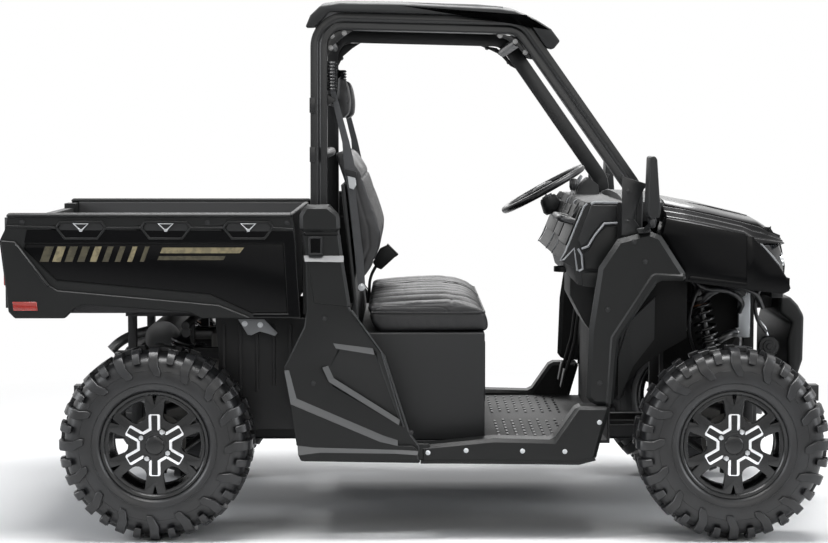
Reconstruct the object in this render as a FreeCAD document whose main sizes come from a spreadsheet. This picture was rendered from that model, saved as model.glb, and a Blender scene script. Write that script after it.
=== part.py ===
import FreeCAD, Part
import Sketcher
import math
import os

# Side by side utility vehicle with a tipping cargo bed.
# X points forward, Y to the vehicle's left and Z up, in millimetres.
# The origin is on the ground, at the middle of the length and width.

os.makedirs("parts", exist_ok=True)
doc = FreeCAD.newDocument("utility_vehicle")
Vector = FreeCAD.Vector

DIMENSIONS = {
    # Overall layout along X
    "wheelbase": 2045,
    "rear_overhang": 542,
    "front_overhang": 442,
    "bed_length": 1058,
    "bed_gap": 33,
    "front_arch_reach": 426,
    "nose_length": 663,
    # Overall layout in height
    "underside_height": 267,
    "side_height": 926,
    "floor_height": 330,
    "bed_wall_height": 372,
    "rops_foot_height": 640,
    "rops_height": 1840,
    "roof_rise": 61,
    "roof_crown": 34,
    # Overall layout across, from the centre line
    "wheel_outer_offset": 797,
    "body_offset": 742,
    "seat_offset": 600,
    # Wheels
    "tyre_radius": 343,
    "lug_width": 38,
    "rim_radius": 178,
    "front_tyre_width": 229,
    "rear_tyre_width": 280,
    "rim_flange": 15,
    "rim_wall": 6,
    "spoke_depth": 26,
    "hub_radius": 62,
    "brake_disc_radius": 100,
    "brake_disc_thickness": 5,
    "wheel_nut_radius": 10,
    "wheel_nut_circle_radius": 56,
    # Hubs, arms and steering
    "hub_face_offset": 660,
    "running_gap": 0.3,
    "knuckle_plate_thickness": 24,
    "knuckle_half_height": 85,
    "knuckle_half_width": 45,
    "joint_ball_radius": 36,
    "shaft_radius": 11,
    "boss_radius": 24,
    "boss_height": 23,
    "arm_eye_height": 40,
    "arm_tube_radius": 13,
    "arm_spread": 130,
    "pivot_radius": 16,
    "steering_arm_length": 95,
    "steering_arm_thickness": 15,
    "linkage_gap": 6,
    "tie_rod_radius": 11,
    "rod_end_radius": 13,
    "shock_body_radius": 24,
    "spring_radius": 42,
    # Frame
    "rail_width": 40,
    "rail_height": 45,
    "rail_offset": 170,
    "cross_height": 15,
    "upper_rail_offset": 290,
    "upper_rail_height": 640,
    "frame_tube_radius": 15,
    "skid_thickness": 6,
    "engine_gap": 68,
    "floor_thickness": 10,
    "sheet_thickness": 12,
    "panel_thickness": 40,
    "skin_thickness": 8,
    "recess_depth": 10,
    # Roll cage
    "rops_width": 60,
    "rops_depth": 46,
    "rops_foot_offset": 676,
    "rops_lean": 3.6,
    "rops_bend_radius": 90,
    "rops_bar_radius": 19,
    "rops_groove": 7,
    # Bed, tailgate and hood
    "bed_wall": 40,
    "bed_floor_thickness": 20,
    "bed_floor_clearance": 14,
    "bed_pivot_back": 135,
    "bed_pivot_height": 775,
    "bed_lift": 16,
    "bed_pin_radius": 9,
    "tailgate_thickness": 35,
    "pocket_depth": 14,
    "gate_pin_radius": 8,
    "moving_gap": 6,
    "hood_thickness": 10,
    "hood_crown": 26,
    "hood_offset": 450,
    "hinge_pin_radius": 5,
    "slot_height": 24,
    # Steering wheel
    "steering_wheel_radius": 175,
    "steering_grip_radius": 13,
    "steering_offset": 360,
    "steering_tilt": 29,
    "column_radius": 22,
    "column_length": 300,
    # Hitch receivers
    "receiver_outer": 60,
    "receiver_inner": 51,
    "receiver_length": 280,
    "receiver_height": 433,
    "hitch_pin_radius": 8,
    "hitch_pin_inset": 48,
    # Small parts
    "strap_thickness": 2,
    "mirror_height": 215,
    "mirror_width": 130,
    "mirror_thickness": 34,
    "mirror_offset": 805,
    "overrun": 5,
}

sheet = doc.addObject("Spreadsheet::Sheet", "Sizes")
for row, (alias, value) in enumerate(DIMENSIONS.items(), start=1):
    sheet.set("A%d" % row, alias)
    sheet.set("B%d" % row, str(value))
    sheet.setAlias("B%d" % row, alias)
doc.recompute()


class Size:
    """A length with its value and the sheet expression that gives it."""

    def __init__(self, value, text):
        self.value = float(value)
        self.text = text

    def __float__(self):
        return self.value

    def __add__(self, other):
        return Size(self.value + other.value, "(%s + %s)" % (self.text, other.text))

    def __sub__(self, other):
        return Size(self.value - other.value, "(%s - %s)" % (self.text, other.text))

    def __mul__(self, share):
        return Size(self.value * share, "%s * %.6f" % (self.text, share))

    def __neg__(self):
        return Size(-self.value, "(0 - %s)" % self.text)


class Sizes:
    """The sheet's cells by name, as sizes."""

    def __getattr__(self, alias):
        return Size(sheet.get(alias), "Sizes." + alias)


size = Sizes()
ZERO = Size(0, "0")
HALF_SHARE = 0.5
RIGHT = -1
LEFT = 1

rear_axle = (size.rear_overhang - size.front_overhang - size.wheelbase) * HALF_SHARE
front_axle = rear_axle + size.wheelbase
bed_rear = rear_axle - size.rear_overhang
bed_front = bed_rear + size.bed_length
cab_rear = bed_front + size.bed_gap
cab_front = front_axle - size.front_arch_reach
bed_low = size.bed_pivot_height + size.bed_lift
cab_length = cab_front - cab_rear
kingpin_offset = (size.hub_face_offset - size.running_gap - size.knuckle_plate_thickness
                  - size.joint_ball_radius - size.running_gap)
rail_outer = size.rail_offset + size.rail_width * HALF_SHARE
rail_inner = size.rail_offset - size.rail_width * HALF_SHARE
pivot_offset = rail_outer + size.pivot_radius + size.running_gap
PANEL_HOLD_SHARE = 0.85
panel_inner = size.body_offset - size.panel_thickness * PANEL_HOLD_SHARE
FLOOR_WIDTH_SHARE = 0.86
floor_half = size.body_offset * FLOOR_WIDTH_SHARE


def cab_x(share):
    return cab_rear + cab_length * share


def nose_x(share):
    return cab_front + size.nose_length * share


def side_z(share):
    return size.underside_height + size.side_height * share


def bed_x(share):
    return bed_rear + size.bed_length * share


def bed_z(share):
    return bed_low + size.bed_wall_height * share


def outline(along, upward, shares):
    """Points of a side outline from shares along two directions."""
    return [(along(a), upward(b)) for a, b in shares]


def bind(feature, prop, value):
    feature.setExpression(prop, value.text)


def origin_plane(body, role):
    for feature in body.Origin.OriginFeatures:
        if feature.Role == role:
            return feature


def sketch(body, name, role, points, offset=None):
    """A closed polygon sketch, each corner dimensioned from the origin."""
    made = body.newObject("Sketcher::SketchObject", name)
    made.AttachmentSupport = [(origin_plane(body, role), "")]
    made.MapMode = "FlatFace"
    if offset is not None:
        bind(made, "AttachmentOffset.Base.z", offset)
    count = len(points)
    corners = [Vector(float(a), float(b), 0) for a, b in points]
    lines = [Part.LineSegment(corners[i], corners[(i + 1) % count]) for i in range(count)]
    made.addGeometry(lines, False)
    for i in range(count):
        made.addConstraint(Sketcher.Constraint("Coincident", i, 2, (i + 1) % count, 1))
    for i, point in enumerate(points):
        for kind, axis, length in (("DistanceX", -2, point[0]), ("DistanceY", -1, point[1])):
            if abs(float(length)) < 0.001:
                made.addConstraint(Sketcher.Constraint("PointOnObject", i, 1, axis))
            else:
                rule = Sketcher.Constraint(kind, -1, 1, i, 1, float(length))
                number = made.addConstraint(rule)
                bind(made, "Constraints[%d]" % number, length)
    return made


def prism(name, role, points, low, high):
    """A body padded from an outline, between two places across it."""
    body = doc.addObject("PartDesign::Body", name)
    profile = sketch(body, name + "_outline", role, points)
    pad = body.newObject("PartDesign::Pad", name + "_pad")
    pad.Profile = profile
    bind(pad, "Length", high - low)
    if role == "XZ_Plane":
        bind(body, "Placement.Base.y", high)
    if role == "YZ_Plane":
        bind(body, "Placement.Base.x", low)
    if role == "XY_Plane":
        bind(body, "Placement.Base.z", low)
    return body


def recess(body, name, role, points, depth, offset=None, inward=False):
    """A pocket cut into a body from an outline."""
    profile = sketch(body, name + "_outline", role, points, offset)
    pocket = body.newObject("PartDesign::Pocket", name)
    pocket.Profile = profile
    bind(pocket, "Length", depth)
    pocket.Reversed = inward
    return pocket


def loft(name, role, sections):
    """A body lofted through outlines at places along a plane's normal."""
    body = doc.addObject("PartDesign::Body", name)
    profiles = []
    for i, (offset, points) in enumerate(sections):
        profiles.append(sketch(body, "%s_section_%d" % (name, i), role, points, offset))
    feature = body.newObject("PartDesign::AdditiveLoft", name + "_loft")
    feature.Profile = profiles[0]
    feature.Sections = profiles[1:]
    feature.Ruled = True
    return body


def turned(name, points, centre):
    """A body revolved about a Y axis, its outline in radius and Y."""
    body = doc.addObject("PartDesign::Body", name)
    profile = sketch(body, name + "_outline", "XY_Plane", points)
    spin = body.newObject("PartDesign::Revolution", name + "_turn")
    spin.Profile = profile
    spin.ReferenceAxis = (profile, ["V_Axis"])
    place(body, centre)
    return body


def place(thing, point):
    for axis, value in zip("xyz", point):
        bind(thing, "Placement.Base." + axis, value)


def block(name, x_span, y_span, z_span):
    made = doc.addObject("Part::Box", name)
    bind(made, "Length", x_span[1] - x_span[0])
    bind(made, "Width", y_span[1] - y_span[0])
    bind(made, "Height", z_span[1] - z_span[0])
    place(made, (x_span[0], y_span[0], z_span[0]))
    return made


AXIS_TURNS = {"x": (Vector(0, 1, 0), 90), "y": (Vector(1, 0, 0), -90), "z": (Vector(0, 0, 1), 0)}


def rod(name, axis, centre, radius, low, high):
    """A cylinder along an axis; the centre's own place on that axis is not used."""
    made = doc.addObject("Part::Cylinder", name)
    bind(made, "Radius", radius)
    bind(made, "Height", high - low)
    made.Placement.Rotation = FreeCAD.Rotation(*AXIS_TURNS[axis])
    start = dict(zip("xyz", centre))
    start[axis] = low
    place(made, (start["x"], start["y"], start["z"]))
    return made


def ball(name, centre, radius):
    made = doc.addObject("Part::Sphere", name)
    bind(made, "Radius", radius)
    place(made, centre)
    return made


def vector(point):
    return Vector(float(point[0]), float(point[1]), float(point[2]))


def strut(name, start, end, radius):
    """A round bar between any two points."""
    made = doc.addObject("Part::Feature", name)
    run = vector(end) - vector(start)
    made.Shape = Part.makeCylinder(float(radius), run.Length, vector(start), run)
    return made


ROUND_SIDES = 16


def many_sided(sections, sides):
    """A closed form along Z through regular polygons, from heights and radii."""
    turns = [2 * math.pi * k / sides for k in range(sides)]
    rings = [[Vector(math.cos(turn), math.sin(turn), 0) * float(radius) + Vector(0, 0, float(height))
              for turn in turns] for height, radius in sections]
    faces = [Part.Face(Part.makePolygon(ring + ring[:1])) for ring in (rings[0], rings[-1])]
    for low, high in zip(rings, rings[1:]):
        for k in range(sides):
            n = (k + 1) % sides
            faces.append(Part.Face(Part.makePolygon([low[k], low[n], high[n], high[k], low[k]])))
    solid = Part.Solid(Part.Shell(faces))
    if solid.Volume < 0:
        solid.reverse()
    return solid


def ringed_strut(name, start, end, profile):
    """A many-sided form about the line between two points, from shares along it and radii."""
    made = doc.addObject("Part::Feature", name)
    run = vector(end) - vector(start)
    solid = many_sided([(run.Length * share, radius) for share, radius in profile], ROUND_SIDES)
    solid.Placement = FreeCAD.Placement(vector(start), FreeCAD.Rotation(Vector(0, 0, 1), run))
    made.Shape = solid
    return made


def fuse(name, pieces):
    made = doc.addObject("Part::MultiFuse", name)
    made.Shapes = pieces
    made.Refine = True
    return made


def cut(name, base, tool):
    made = doc.addObject("Part::Cut", name)
    made.Base = base
    made.Tool = tool
    return made


def mirrored(source):
    made = doc.addObject("Part::Mirroring", source.Name + "_mirrored")
    made.Source = source
    made.Normal = Vector(0, 1, 0)
    return made


def pair(source):
    return [source, mirrored(source)]


def centred(half):
    return (-half, half)


nodes = {}


def node(label, pieces):
    """Keep one named sub-part, made of pieces that share a body."""
    if len(pieces) == 1:
        kept = pieces[0]
    else:
        kept = doc.addObject("Part::Compound", label + "_set")
        kept.Links = pieces
    kept.Label = label
    nodes[label] = kept


# Tyres, each a faceted casing with a ring of lugs over both shoulders
TYRE_SIDES = 32
LUG_COUNT = 16
CASING_SHARES = [(-0.36, 0.12), (-0.475, 0.42), (-0.36, 0.87), (0.36, 0.87), (0.475, 0.42), (0.36, 0.12)]
LUG_SHARES = [(0.06, 1.0), (0.38, 0.985), (0.5, 0.72), (0.478, 0.45), (0.34, 0.60), (0.06, 0.80)]


def polygon_ring(name, sections, centre):
    """A closed form about a Y axis through regular polygons of given radii."""
    made = doc.addObject("Part::Feature", name)
    made.Shape = many_sided(sections, TYRE_SIDES)
    made.Placement.Rotation = FreeCAD.Rotation(Vector(0, 0, 1), Vector(0, 1, 0))
    place(made, centre)
    return made


def lug_ring(name, side, width, first_angle, centre):
    """Sixteen lugs over one shoulder, each padded along the tread and patterned round the axle."""
    depth = size.tyre_radius - size.rim_radius
    body = doc.addObject("PartDesign::Body", name)
    points = [(width * (across * side), size.rim_radius + depth * rise) for across, rise in LUG_SHARES]
    profile = sketch(body, name + "_outline", "YZ_Plane", points)
    pad = body.newObject("PartDesign::Pad", name + "_pad")
    pad.Profile = profile
    pad.Midplane = True
    bind(pad, "Length", size.lug_width)
    pattern = body.newObject("PartDesign::PolarPattern", name + "_pattern")
    pattern.Originals = [pad]
    pattern.Axis = (next(axis for axis in body.Origin.OriginFeatures if axis.Role == "Y_Axis"), [""])
    pattern.Angle = 360
    pattern.Occurrences = LUG_COUNT
    body.Tip = pattern
    body.Placement.Rotation = FreeCAD.Rotation(Vector(0, 1, 0), first_angle)
    place(body, centre)
    return body


def tyre(label, side, centre, width):
    depth = size.tyre_radius - size.rim_radius
    facet = math.cos(math.pi / TYRE_SIDES)
    outer = [(width * across, size.rim_radius + depth * rise) for across, rise in CASING_SHARES]
    bore_half = width * HALF_SHARE
    bore_radius = size.rim_radius * (1 / facet)
    casing = polygon_ring(label + "_casing", outer, centre)
    bore = polygon_ring(label + "_bore", [(-bore_half, bore_radius), (bore_half, bore_radius)], centre)
    lugs = [lug_ring(label + "_lugs_outer", side, width, 0, centre),
            lug_ring(label + "_lugs_inner", -side, width, 180 / LUG_COUNT, centre)]
    node(label, [cut(label + "_whole", fuse(label + "_lugged", [casing] + lugs), bore)])


# Rims, with a drop centre barrel, a spoked face, the hub and the brake disc
SPOKE_FACE_SHARE = 0.24
BEAD_SHARE = 0.36
FLANGE_SHARE = 0.40
WINDOW_SHARES = [(0.55, 0.10), (0.62, 0.20), (0.93, 0.295), (0.955, 0.15), (0.955, -0.15), (0.93, -0.295),
                 (0.62, -0.20), (0.55, -0.10)]
NOTCH_SHARES = [(0.83, 0.0), (0.99, 0.05), (0.99, -0.05)]
LOBE_SHARES = [(0.34, -0.108), (0.60, -0.11), (0.60, 0.11), (0.34, 0.108)]
STAR_RISE_SHARE = 0.15
NOTCH_DEPTH_SHARE = 0.5
NUT_ANGLES = (60, 150, 240, 330)
SPOKE_COUNT = 6
SIXTH_ANGLE = 360 / SPOKE_COUNT


def rim(label, side, centre, width):
    bead = width * BEAD_SHARE + size.running_gap
    flange = width * FLANGE_SHARE
    inner = size.rim_radius - size.running_gap - size.rim_wall
    seat = size.rim_radius - size.running_gap
    lip = size.rim_radius + size.rim_flange
    half = [(inner, flange), (lip, flange), (lip, bead), (seat, bead)]
    other = [(radius, -across) for radius, across in reversed(half)]
    barrel = turned(label + "_barrel", half + other, centre)
    face_low = width * SPOKE_FACE_SHARE
    face_high = face_low + size.spoke_depth
    ring_radius = inner + size.rim_wall * HALF_SHARE
    y_face = sorted([centre[1] + face_low * side, centre[1] + face_high * side], key=float)
    face = rod(label + "_face", "y", centre, ring_radius, y_face[0], y_face[1])
    cuts = []
    notch_face = y_face[0] + (y_face[1] - y_face[0]) * NOTCH_DEPTH_SHARE
    notch_ends = sorted([notch_face, centre[1] + (face_high + size.overrun) * side], key=float)
    window_ends = (y_face[0] - size.overrun, y_face[1] + size.overrun)
    for k in range(SPOKE_COUNT):
        cuts.append(round_outline("%s_window_%d" % (label, k), WINDOW_SHARES, k, centre, inner, window_ends))
        cuts.append(round_outline("%s_notch_%d" % (label, k), NOTCH_SHARES, k + HALF_SHARE, centre, inner,
                                  notch_ends))
    spokes = cut(label + "_spokes", face, fuse(label + "_windows", cuts))
    hub_inner = size.hub_face_offset * side
    hub_ends = sorted([hub_inner, centre[1] + face_low * side], key=float)
    hub = rod(label + "_hub", "y", centre, size.hub_radius, hub_ends[0], hub_ends[1])
    disc_ends = sorted([hub_inner, hub_inner + size.brake_disc_thickness * side], key=float)
    disc = rod(label + "_disc", "y", centre, size.brake_disc_radius, disc_ends[0], disc_ends[1])
    star_face = face_high + size.spoke_depth * STAR_RISE_SHARE
    star_ends = sorted([centre[1] + face_low * side, centre[1] + star_face * side], key=float)
    star_points = []
    for k in range(SPOKE_COUNT):
        for out_share, across_share in LOBE_SHARES:
            star_points.append(round_point(out_share, across_share, k + HALF_SHARE, centre, inner))
    star = prism(label + "_star", "XZ_Plane", star_points, star_ends[0], star_ends[1])
    pieces = [barrel, spokes, star, hub, disc]
    outer = centre[1] + star_face * side
    for angle in NUT_ANGLES:
        turn = math.radians(angle)
        at = (centre[0] + size.wheel_nut_circle_radius * math.cos(turn), centre[1],
              centre[2] + size.wheel_nut_circle_radius * math.sin(turn))
        ends = sorted([outer - size.overrun * side, outer + size.wheel_nut_radius * side], key=float)
        pieces.append(rod("%s_nut_%d" % (label, angle), "y", at, size.wheel_nut_radius, ends[0], ends[1]))
    node(label, [fuse(label + "_wheel", pieces)])


def round_point(out_share, across_share, sixth, centre, radius):
    """A point of the wheel's face, from shares along and across the direction of one sixth."""
    turn = math.radians(SIXTH_ANGLE * sixth)
    along = out_share * math.cos(turn) - across_share * math.sin(turn)
    upward = out_share * math.sin(turn) + across_share * math.cos(turn)
    return (centre[0] + radius * along, centre[2] + radius * upward)


def round_outline(name, shares, sixth, centre, radius, y_span):
    """An outline padded across the wheel's face, turned to its place round the axle."""
    points = [round_point(out_share, across_share, sixth, centre, radius) for out_share, across_share in shares]
    return prism(name, "XZ_Plane", points, y_span[0], y_span[1])


for end, axle, width in (("front", front_axle, size.front_tyre_width),
                         ("rear", rear_axle, size.rear_tyre_width)):
    for side_name, side in (("right", RIGHT), ("left", LEFT)):
        middle = (size.wheel_outer_offset - width * HALF_SHARE) * side
        hub_centre = (axle, middle, size.tyre_radius)
        tyre("tyre_%s_%s" % (end, side_name), side, hub_centre, width)
        rim("rim_%s_%s" % (end, side_name), side, hub_centre, width)


# Hub carriers, a plate with an eye above and below the joint ball
def carrier(name, axle, with_arm):
    centre = (axle, -kingpin_offset, size.tyre_radius)
    plate_outer = size.hub_face_offset - size.running_gap
    plate_inner = plate_outer - size.knuckle_plate_thickness
    x_span = (axle - size.knuckle_half_width, axle + size.knuckle_half_width)
    low = size.tyre_radius - size.knuckle_half_height
    high = size.tyre_radius + size.knuckle_half_height
    pieces = [block(name + "_plate", x_span, (-plate_outer, -plate_inner), (low, high))]
    for word, z_low in (("lower", low), ("upper", high - size.boss_height)):
        z_span = (z_low, z_low + size.boss_height)
        boss_x = (axle - size.boss_radius, axle + size.boss_radius)
        y_span = (-(plate_inner + size.overrun), -kingpin_offset)
        pieces.append(rod("%s_%s_boss" % (name, word), "z", centre, size.boss_radius, *z_span))
        pieces.append(block("%s_%s_web" % (name, word), boss_x, y_span, z_span))
    if with_arm:
        pieces += steering_arm(name, axle, plate_inner)
    return fuse(name, pieces)


ARM_HEIGHT_SHARE = 0.2


def steering_arm(name, axle, plate_inner):
    z_low = size.tyre_radius + size.knuckle_half_height * ARM_HEIGHT_SHARE
    z_span = (z_low, z_low + size.steering_arm_thickness)
    end = (axle - size.steering_arm_length, -kingpin_offset, z_low)
    x_span = (axle - size.steering_arm_length, axle - size.knuckle_half_width + size.overrun)
    y_span = (-(plate_inner + size.overrun), -(kingpin_offset - size.rod_end_radius))
    eye = rod(name + "_arm_eye", "z", end, size.rod_end_radius, *z_span)
    return [eye, block(name + "_arm", x_span, y_span, z_span)]


right_knuckle = carrier("knuckle_right_casting", front_axle, True)
node("knuckle_right", [right_knuckle])
node("knuckle_left", [mirrored(right_knuckle)])


# Suspension arms, each two tubes from a pivot on the frame to an eye
def arm(name, axle, eye_z, inner_z):
    centre = (axle, -kingpin_offset, eye_z)
    eye = rod(name + "_eye", "z", centre, size.boss_radius, eye_z, eye_z + size.arm_eye_height)
    middle_z = eye_z + size.arm_eye_height * HALF_SHARE
    pieces = [eye]
    for k, way in (("rear", -1), ("front", 1)):
        inner = (axle + size.arm_spread * way, -pivot_offset, inner_z)
        outer = (axle, -kingpin_offset, middle_z)
        pieces.append(strut("%s_%s_tube" % (name, k), inner, outer, size.arm_tube_radius))
    sleeve = size.arm_spread + size.pivot_radius
    pieces.append(rod(name + "_sleeve", "x", (axle, -pivot_offset, inner_z), size.pivot_radius,
                      axle - sleeve, axle + sleeve))
    return fuse(name, pieces)


lower_eye = size.tyre_radius - size.knuckle_half_height - size.running_gap - size.arm_eye_height
upper_eye = size.tyre_radius + size.knuckle_half_height + size.running_gap
lower_pivot = size.floor_height - size.rail_height * HALF_SHARE
upper_pivot = upper_eye + size.arm_eye_height * HALF_SHARE

front_arms = []
for word, eye_z, inner_z in (("lower", lower_eye, lower_pivot), ("upper", upper_eye, upper_pivot)):
    front_arms += pair(arm("front_%s_arm" % word, front_axle, eye_z, inner_z))
node("front_arms", front_arms)

rear_carrier = carrier("rear_carrier", rear_axle, False)
rear_arms = pair(rear_carrier)
for word, eye_z, inner_z in (("lower", lower_eye, lower_pivot), ("upper", upper_eye, upper_pivot)):
    rear_arms += pair(arm("rear_%s_arm" % word, rear_axle, eye_z, inner_z))
node("rear_suspension", rear_arms)


# Coil-over shocks, a damper body inside its coil spring
FRONT_SHOCK_TOP_SHARES = (-0.045, 0.68)
REAR_SHOCK_SHARES = (0.04, 0.48)
SHOCK_TOP_INSET_SHARE = 0.50
SHOCK_FOOT_INSET_SHARE = 0.59
SPRING_TURNS = 6
SHOCK_PIN_SHARE = 0.6
SPRING_SPAN_SHARES = (0.12, 0.82)
SPRING_SEAT_SHARES = (0.08, 0.87)
SPRING_ROOT_SHARE = 0.35
SPRING_RIB_SHARES = (0.4, 0.7)


def between(start, end, share):
    return tuple(a + (b - a) * share for a, b in zip(start, end))


def shock(name, foot, top):
    """A damper in one with its spring seats and the ribs of its coil."""
    body, outer = size.shock_body_radius, size.spring_radius
    coil_root = body + (outer - body) * SPRING_ROOT_SHARE
    low, high = SPRING_SPAN_SHARES
    pitch = (high - low) / SPRING_TURNS
    stem = size.shaft_radius
    profile = [(0, stem), (SPRING_SEAT_SHARES[0], stem), (SPRING_SEAT_SHARES[0], outer), (low, outer)]
    for i in range(SPRING_TURNS):
        foot_of_rib = low + pitch * i
        profile.append((foot_of_rib, coil_root))
        profile.extend((foot_of_rib + pitch * share, radius)
                       for share, radius in zip(SPRING_RIB_SHARES, (outer, outer)))
    profile.append((high, coil_root))
    profile.extend([(high, outer), (SPRING_SEAT_SHARES[1], outer), (SPRING_SEAT_SHARES[1], stem), (1, stem)])
    pin_radius = body * HALF_SHARE
    top_eye = rod(name + "_top_eye", "y", top, pin_radius - size.running_gap, top[1] - body, top[1] + body)
    reach = size.arm_spread * SHOCK_PIN_SHARE
    foot_pin = rod(name + "_foot_pin", "x", foot, pin_radius, foot[0] - reach, foot[0] + reach)
    return fuse(name, [ringed_strut(name + "_damper", foot, top, profile), top_eye, foot_pin])


foot_offset = pivot_offset + (kingpin_offset - pivot_offset) * SHOCK_FOOT_INSET_SHARE
top_offset = pivot_offset + (kingpin_offset - pivot_offset) * SHOCK_TOP_INSET_SHARE
shock_foot_z = upper_pivot + size.arm_tube_radius + size.running_gap + size.shock_body_radius * HALF_SHARE
front_shock_top = (front_axle + size.wheelbase * FRONT_SHOCK_TOP_SHARES[0], -top_offset,
                   side_z(FRONT_SHOCK_TOP_SHARES[1]))
front_shock_foot = (front_axle, -foot_offset, shock_foot_z)
rear_shock_top = (rear_axle + size.wheelbase * REAR_SHOCK_SHARES[0], -foot_offset,
                  side_z(REAR_SHOCK_SHARES[1]))
rear_shock_foot = (rear_axle, -foot_offset, shock_foot_z)
front_shock = shock("front_shock", front_shock_foot, front_shock_top)
rear_shock = shock("rear_shock", rear_shock_foot, rear_shock_top)
node("shock_absorbers", pair(front_shock) + pair(rear_shock))


# Frame of welded box rails, posts and cross tubes
BUMPER_SHARES = [(0.99, 0.612), (1.048, 0.612), (1.094, 0.578), (1.128, 0.535), (1.124, 0.357),
                 (1.095, 0.293), (1.035, 0.293), (1.036, 0.444), (1.06, 0.508), (0.99, 0.545)]
BUMPER_STAY_SHARES = (0.552, 0.60)
RAIL_END_SHARES = (-0.127, 1.105)
CROSS_SHARES = (-0.11, 0.275, 0.52, 0.76, 1.09)
OUTRIGGER_SHARES = (0.05, 0.52, 0.93)
RADIATOR_SHARES = ((0.769, 0.825), 0.42, (0.45, 0.64))
FRONT_POST_SHARE = -0.085
FRONT_TOWER_SHARE = 0.725
BED_POST_SHARE = 0.75


def rear_x(share):
    return rear_axle + size.wheelbase * share


def box_tube(name, x_middle, y_span, z_span):
    half = size.rail_width * HALF_SHARE
    return block(name, (x_middle - half, x_middle + half), y_span, z_span)


def tower_places():
    """The two pairs of front posts, the second just ahead of the radiator."""
    radiator_front = nose_x(RADIATOR_SHARES[0][1])
    return [front_axle + size.wheelbase * FRONT_POST_SHARE,
            radiator_front + size.running_gap + size.rail_width * HALF_SHARE]


def main_frame():
    """Two rails with their cross members, receiver stands and outriggers."""
    rail_z = (size.floor_height - size.rail_height, size.floor_height)
    cross_z = (rail_z[0], rail_z[0] + size.cross_height)
    rail_y = (-rail_outer, -rail_inner)
    pieces = pair(block("main_rail", (rear_x(RAIL_END_SHARES[0]), rear_x(RAIL_END_SHARES[1])), rail_y, rail_z))
    for k, share in enumerate(CROSS_SHARES):
        pieces.append(box_tube("cross_%d" % k, rear_x(share), centred(rail_inner + size.overrun), cross_z))
    for word, share in (("front", CROSS_SHARES[-1]), ("rear", CROSS_SHARES[0])):
        receiver_low = size.receiver_height - size.receiver_outer * HALF_SHARE - size.running_gap
        pieces.append(box_tube(word + "_receiver_stand", rear_x(share), centred(size.rail_width * HALF_SHARE),
                               (cross_z[0], receiver_low)))
    for k, share in enumerate(OUTRIGGER_SHARES):
        reach = panel_inner - size.running_gap
        if k > 0:
            reach = floor_half
        y_span = (rail_outer - size.overrun, reach)
        pieces += pair(box_tube("outrigger_%d" % k, cab_x(share), y_span, rail_z))
    return fuse("main_weldment", pieces)


def front_frame():
    """Posts on the rails that carry the front shocks, the radiator and the bumper."""
    rail_y = (-rail_outer, -rail_inner)
    half = size.rail_width * HALF_SHARE
    tower_x = tower_places()
    tower_z = side_z(FRONT_TOWER_SHARE)
    top_z = (tower_z - size.rail_width, tower_z)
    side = [box_tube("tower_post_%d" % k, x, rail_y, (size.floor_height, tower_z))
            for k, x in enumerate(tower_x)]
    bumper_z = (side_z(BUMPER_STAY_SHARES[0]), side_z(BUMPER_STAY_SHARES[1]))
    side.append(block("bumper_stay", (tower_x[1], nose_x(BUMPER_SHARES[-1][0]) - size.running_gap), rail_y,
                      bumper_z))
    side.append(block("tower_rail", (tower_x[0] - half, tower_x[1] + half), rail_y, top_z))
    side.append(block("tower_mount", (front_shock_top[0] - half, front_shock_top[0] + half),
                      (-(top_offset + half), -rail_inner),
                      (front_shock_top[2] + size.shock_body_radius * HALF_SHARE, tower_z)))
    cross = box_tube("tower_cross", tower_x[0], centred(rail_inner + size.overrun), top_z)
    return fuse("front_weldment", pair(fuse("front_frame_side", side)) + [cross])


def rear_frame():
    """Upper rails and posts that carry the roll cage, the rear shocks and the bed's pivot."""
    upper_z = (size.upper_rail_height - size.rail_width, size.upper_rail_height)
    rail_y = (-rail_outer, -rail_inner)
    half = size.rail_width * HALF_SHARE
    post_half = half * BED_POST_SHARE
    upper_y = (-(size.upper_rail_offset + half), -(size.upper_rail_offset - half))
    pivot_x = rear_axle - size.bed_pivot_back
    cage_x = cab_x(CAGE_FOOT_SHARE)
    side = [block("upper_rail", (pivot_x, cage_x), upper_y, upper_z)]
    side.append(box_tube("bed_post_foot", pivot_x, rail_y, (size.floor_height, upper_z[0])))
    side.append(box_tube("cage_post", cage_x, rail_y, (size.floor_height, upper_z[0])))
    side.append(block("bed_post", (pivot_x - post_half, pivot_x + post_half), upper_y,
                      (upper_z[1] - size.overrun, size.bed_pivot_height + post_half)))
    pin_end = size.upper_rail_offset + half + size.moving_gap + size.moving_gap + size.sheet_thickness
    side.append(rod("bed_pin", "y", (pivot_x, ZERO, size.bed_pivot_height), size.bed_pin_radius,
                    -pin_end, -(size.upper_rail_offset + half - size.overrun)))
    shock_z = rear_shock_top[2] + size.shock_body_radius * HALF_SHARE + size.frame_tube_radius
    side.append(block("shock_post", (rear_shock_top[0] - post_half, rear_shock_top[0] + post_half), upper_y,
                      (upper_z[1] - size.overrun, shock_z)))
    shock_reach = foot_offset + size.spring_radius
    cage_reach = size.rops_foot_offset + size.rops_depth * HALF_SHARE
    crosses = [box_tube("bed_cross", pivot_x, centred(size.upper_rail_offset + half), upper_z),
               box_tube("cage_cross", cage_x, centred(cage_reach), upper_z),
               rod("rear_shock_tube", "y", (rear_shock_top[0], ZERO, shock_z), size.frame_tube_radius,
                   -shock_reach, shock_reach)]
    return fuse("rear_weldment", pair(fuse("rear_frame_side", side)) + crosses)


CAGE_FOOT_SHARE = 0.027
node("frame", [main_frame()])
node("front_frame", [front_frame()])
node("rear_frame", [rear_frame()])

SKID_SHARES = (-0.12, 1.10)
skid_z = size.floor_height - size.rail_height
node("skid_plate", [block("skid_sheet", (rear_x(SKID_SHARES[0]), rear_x(SKID_SHARES[1])),
                          centred(rail_outer), (skid_z - size.skid_thickness, skid_z))])

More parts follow.
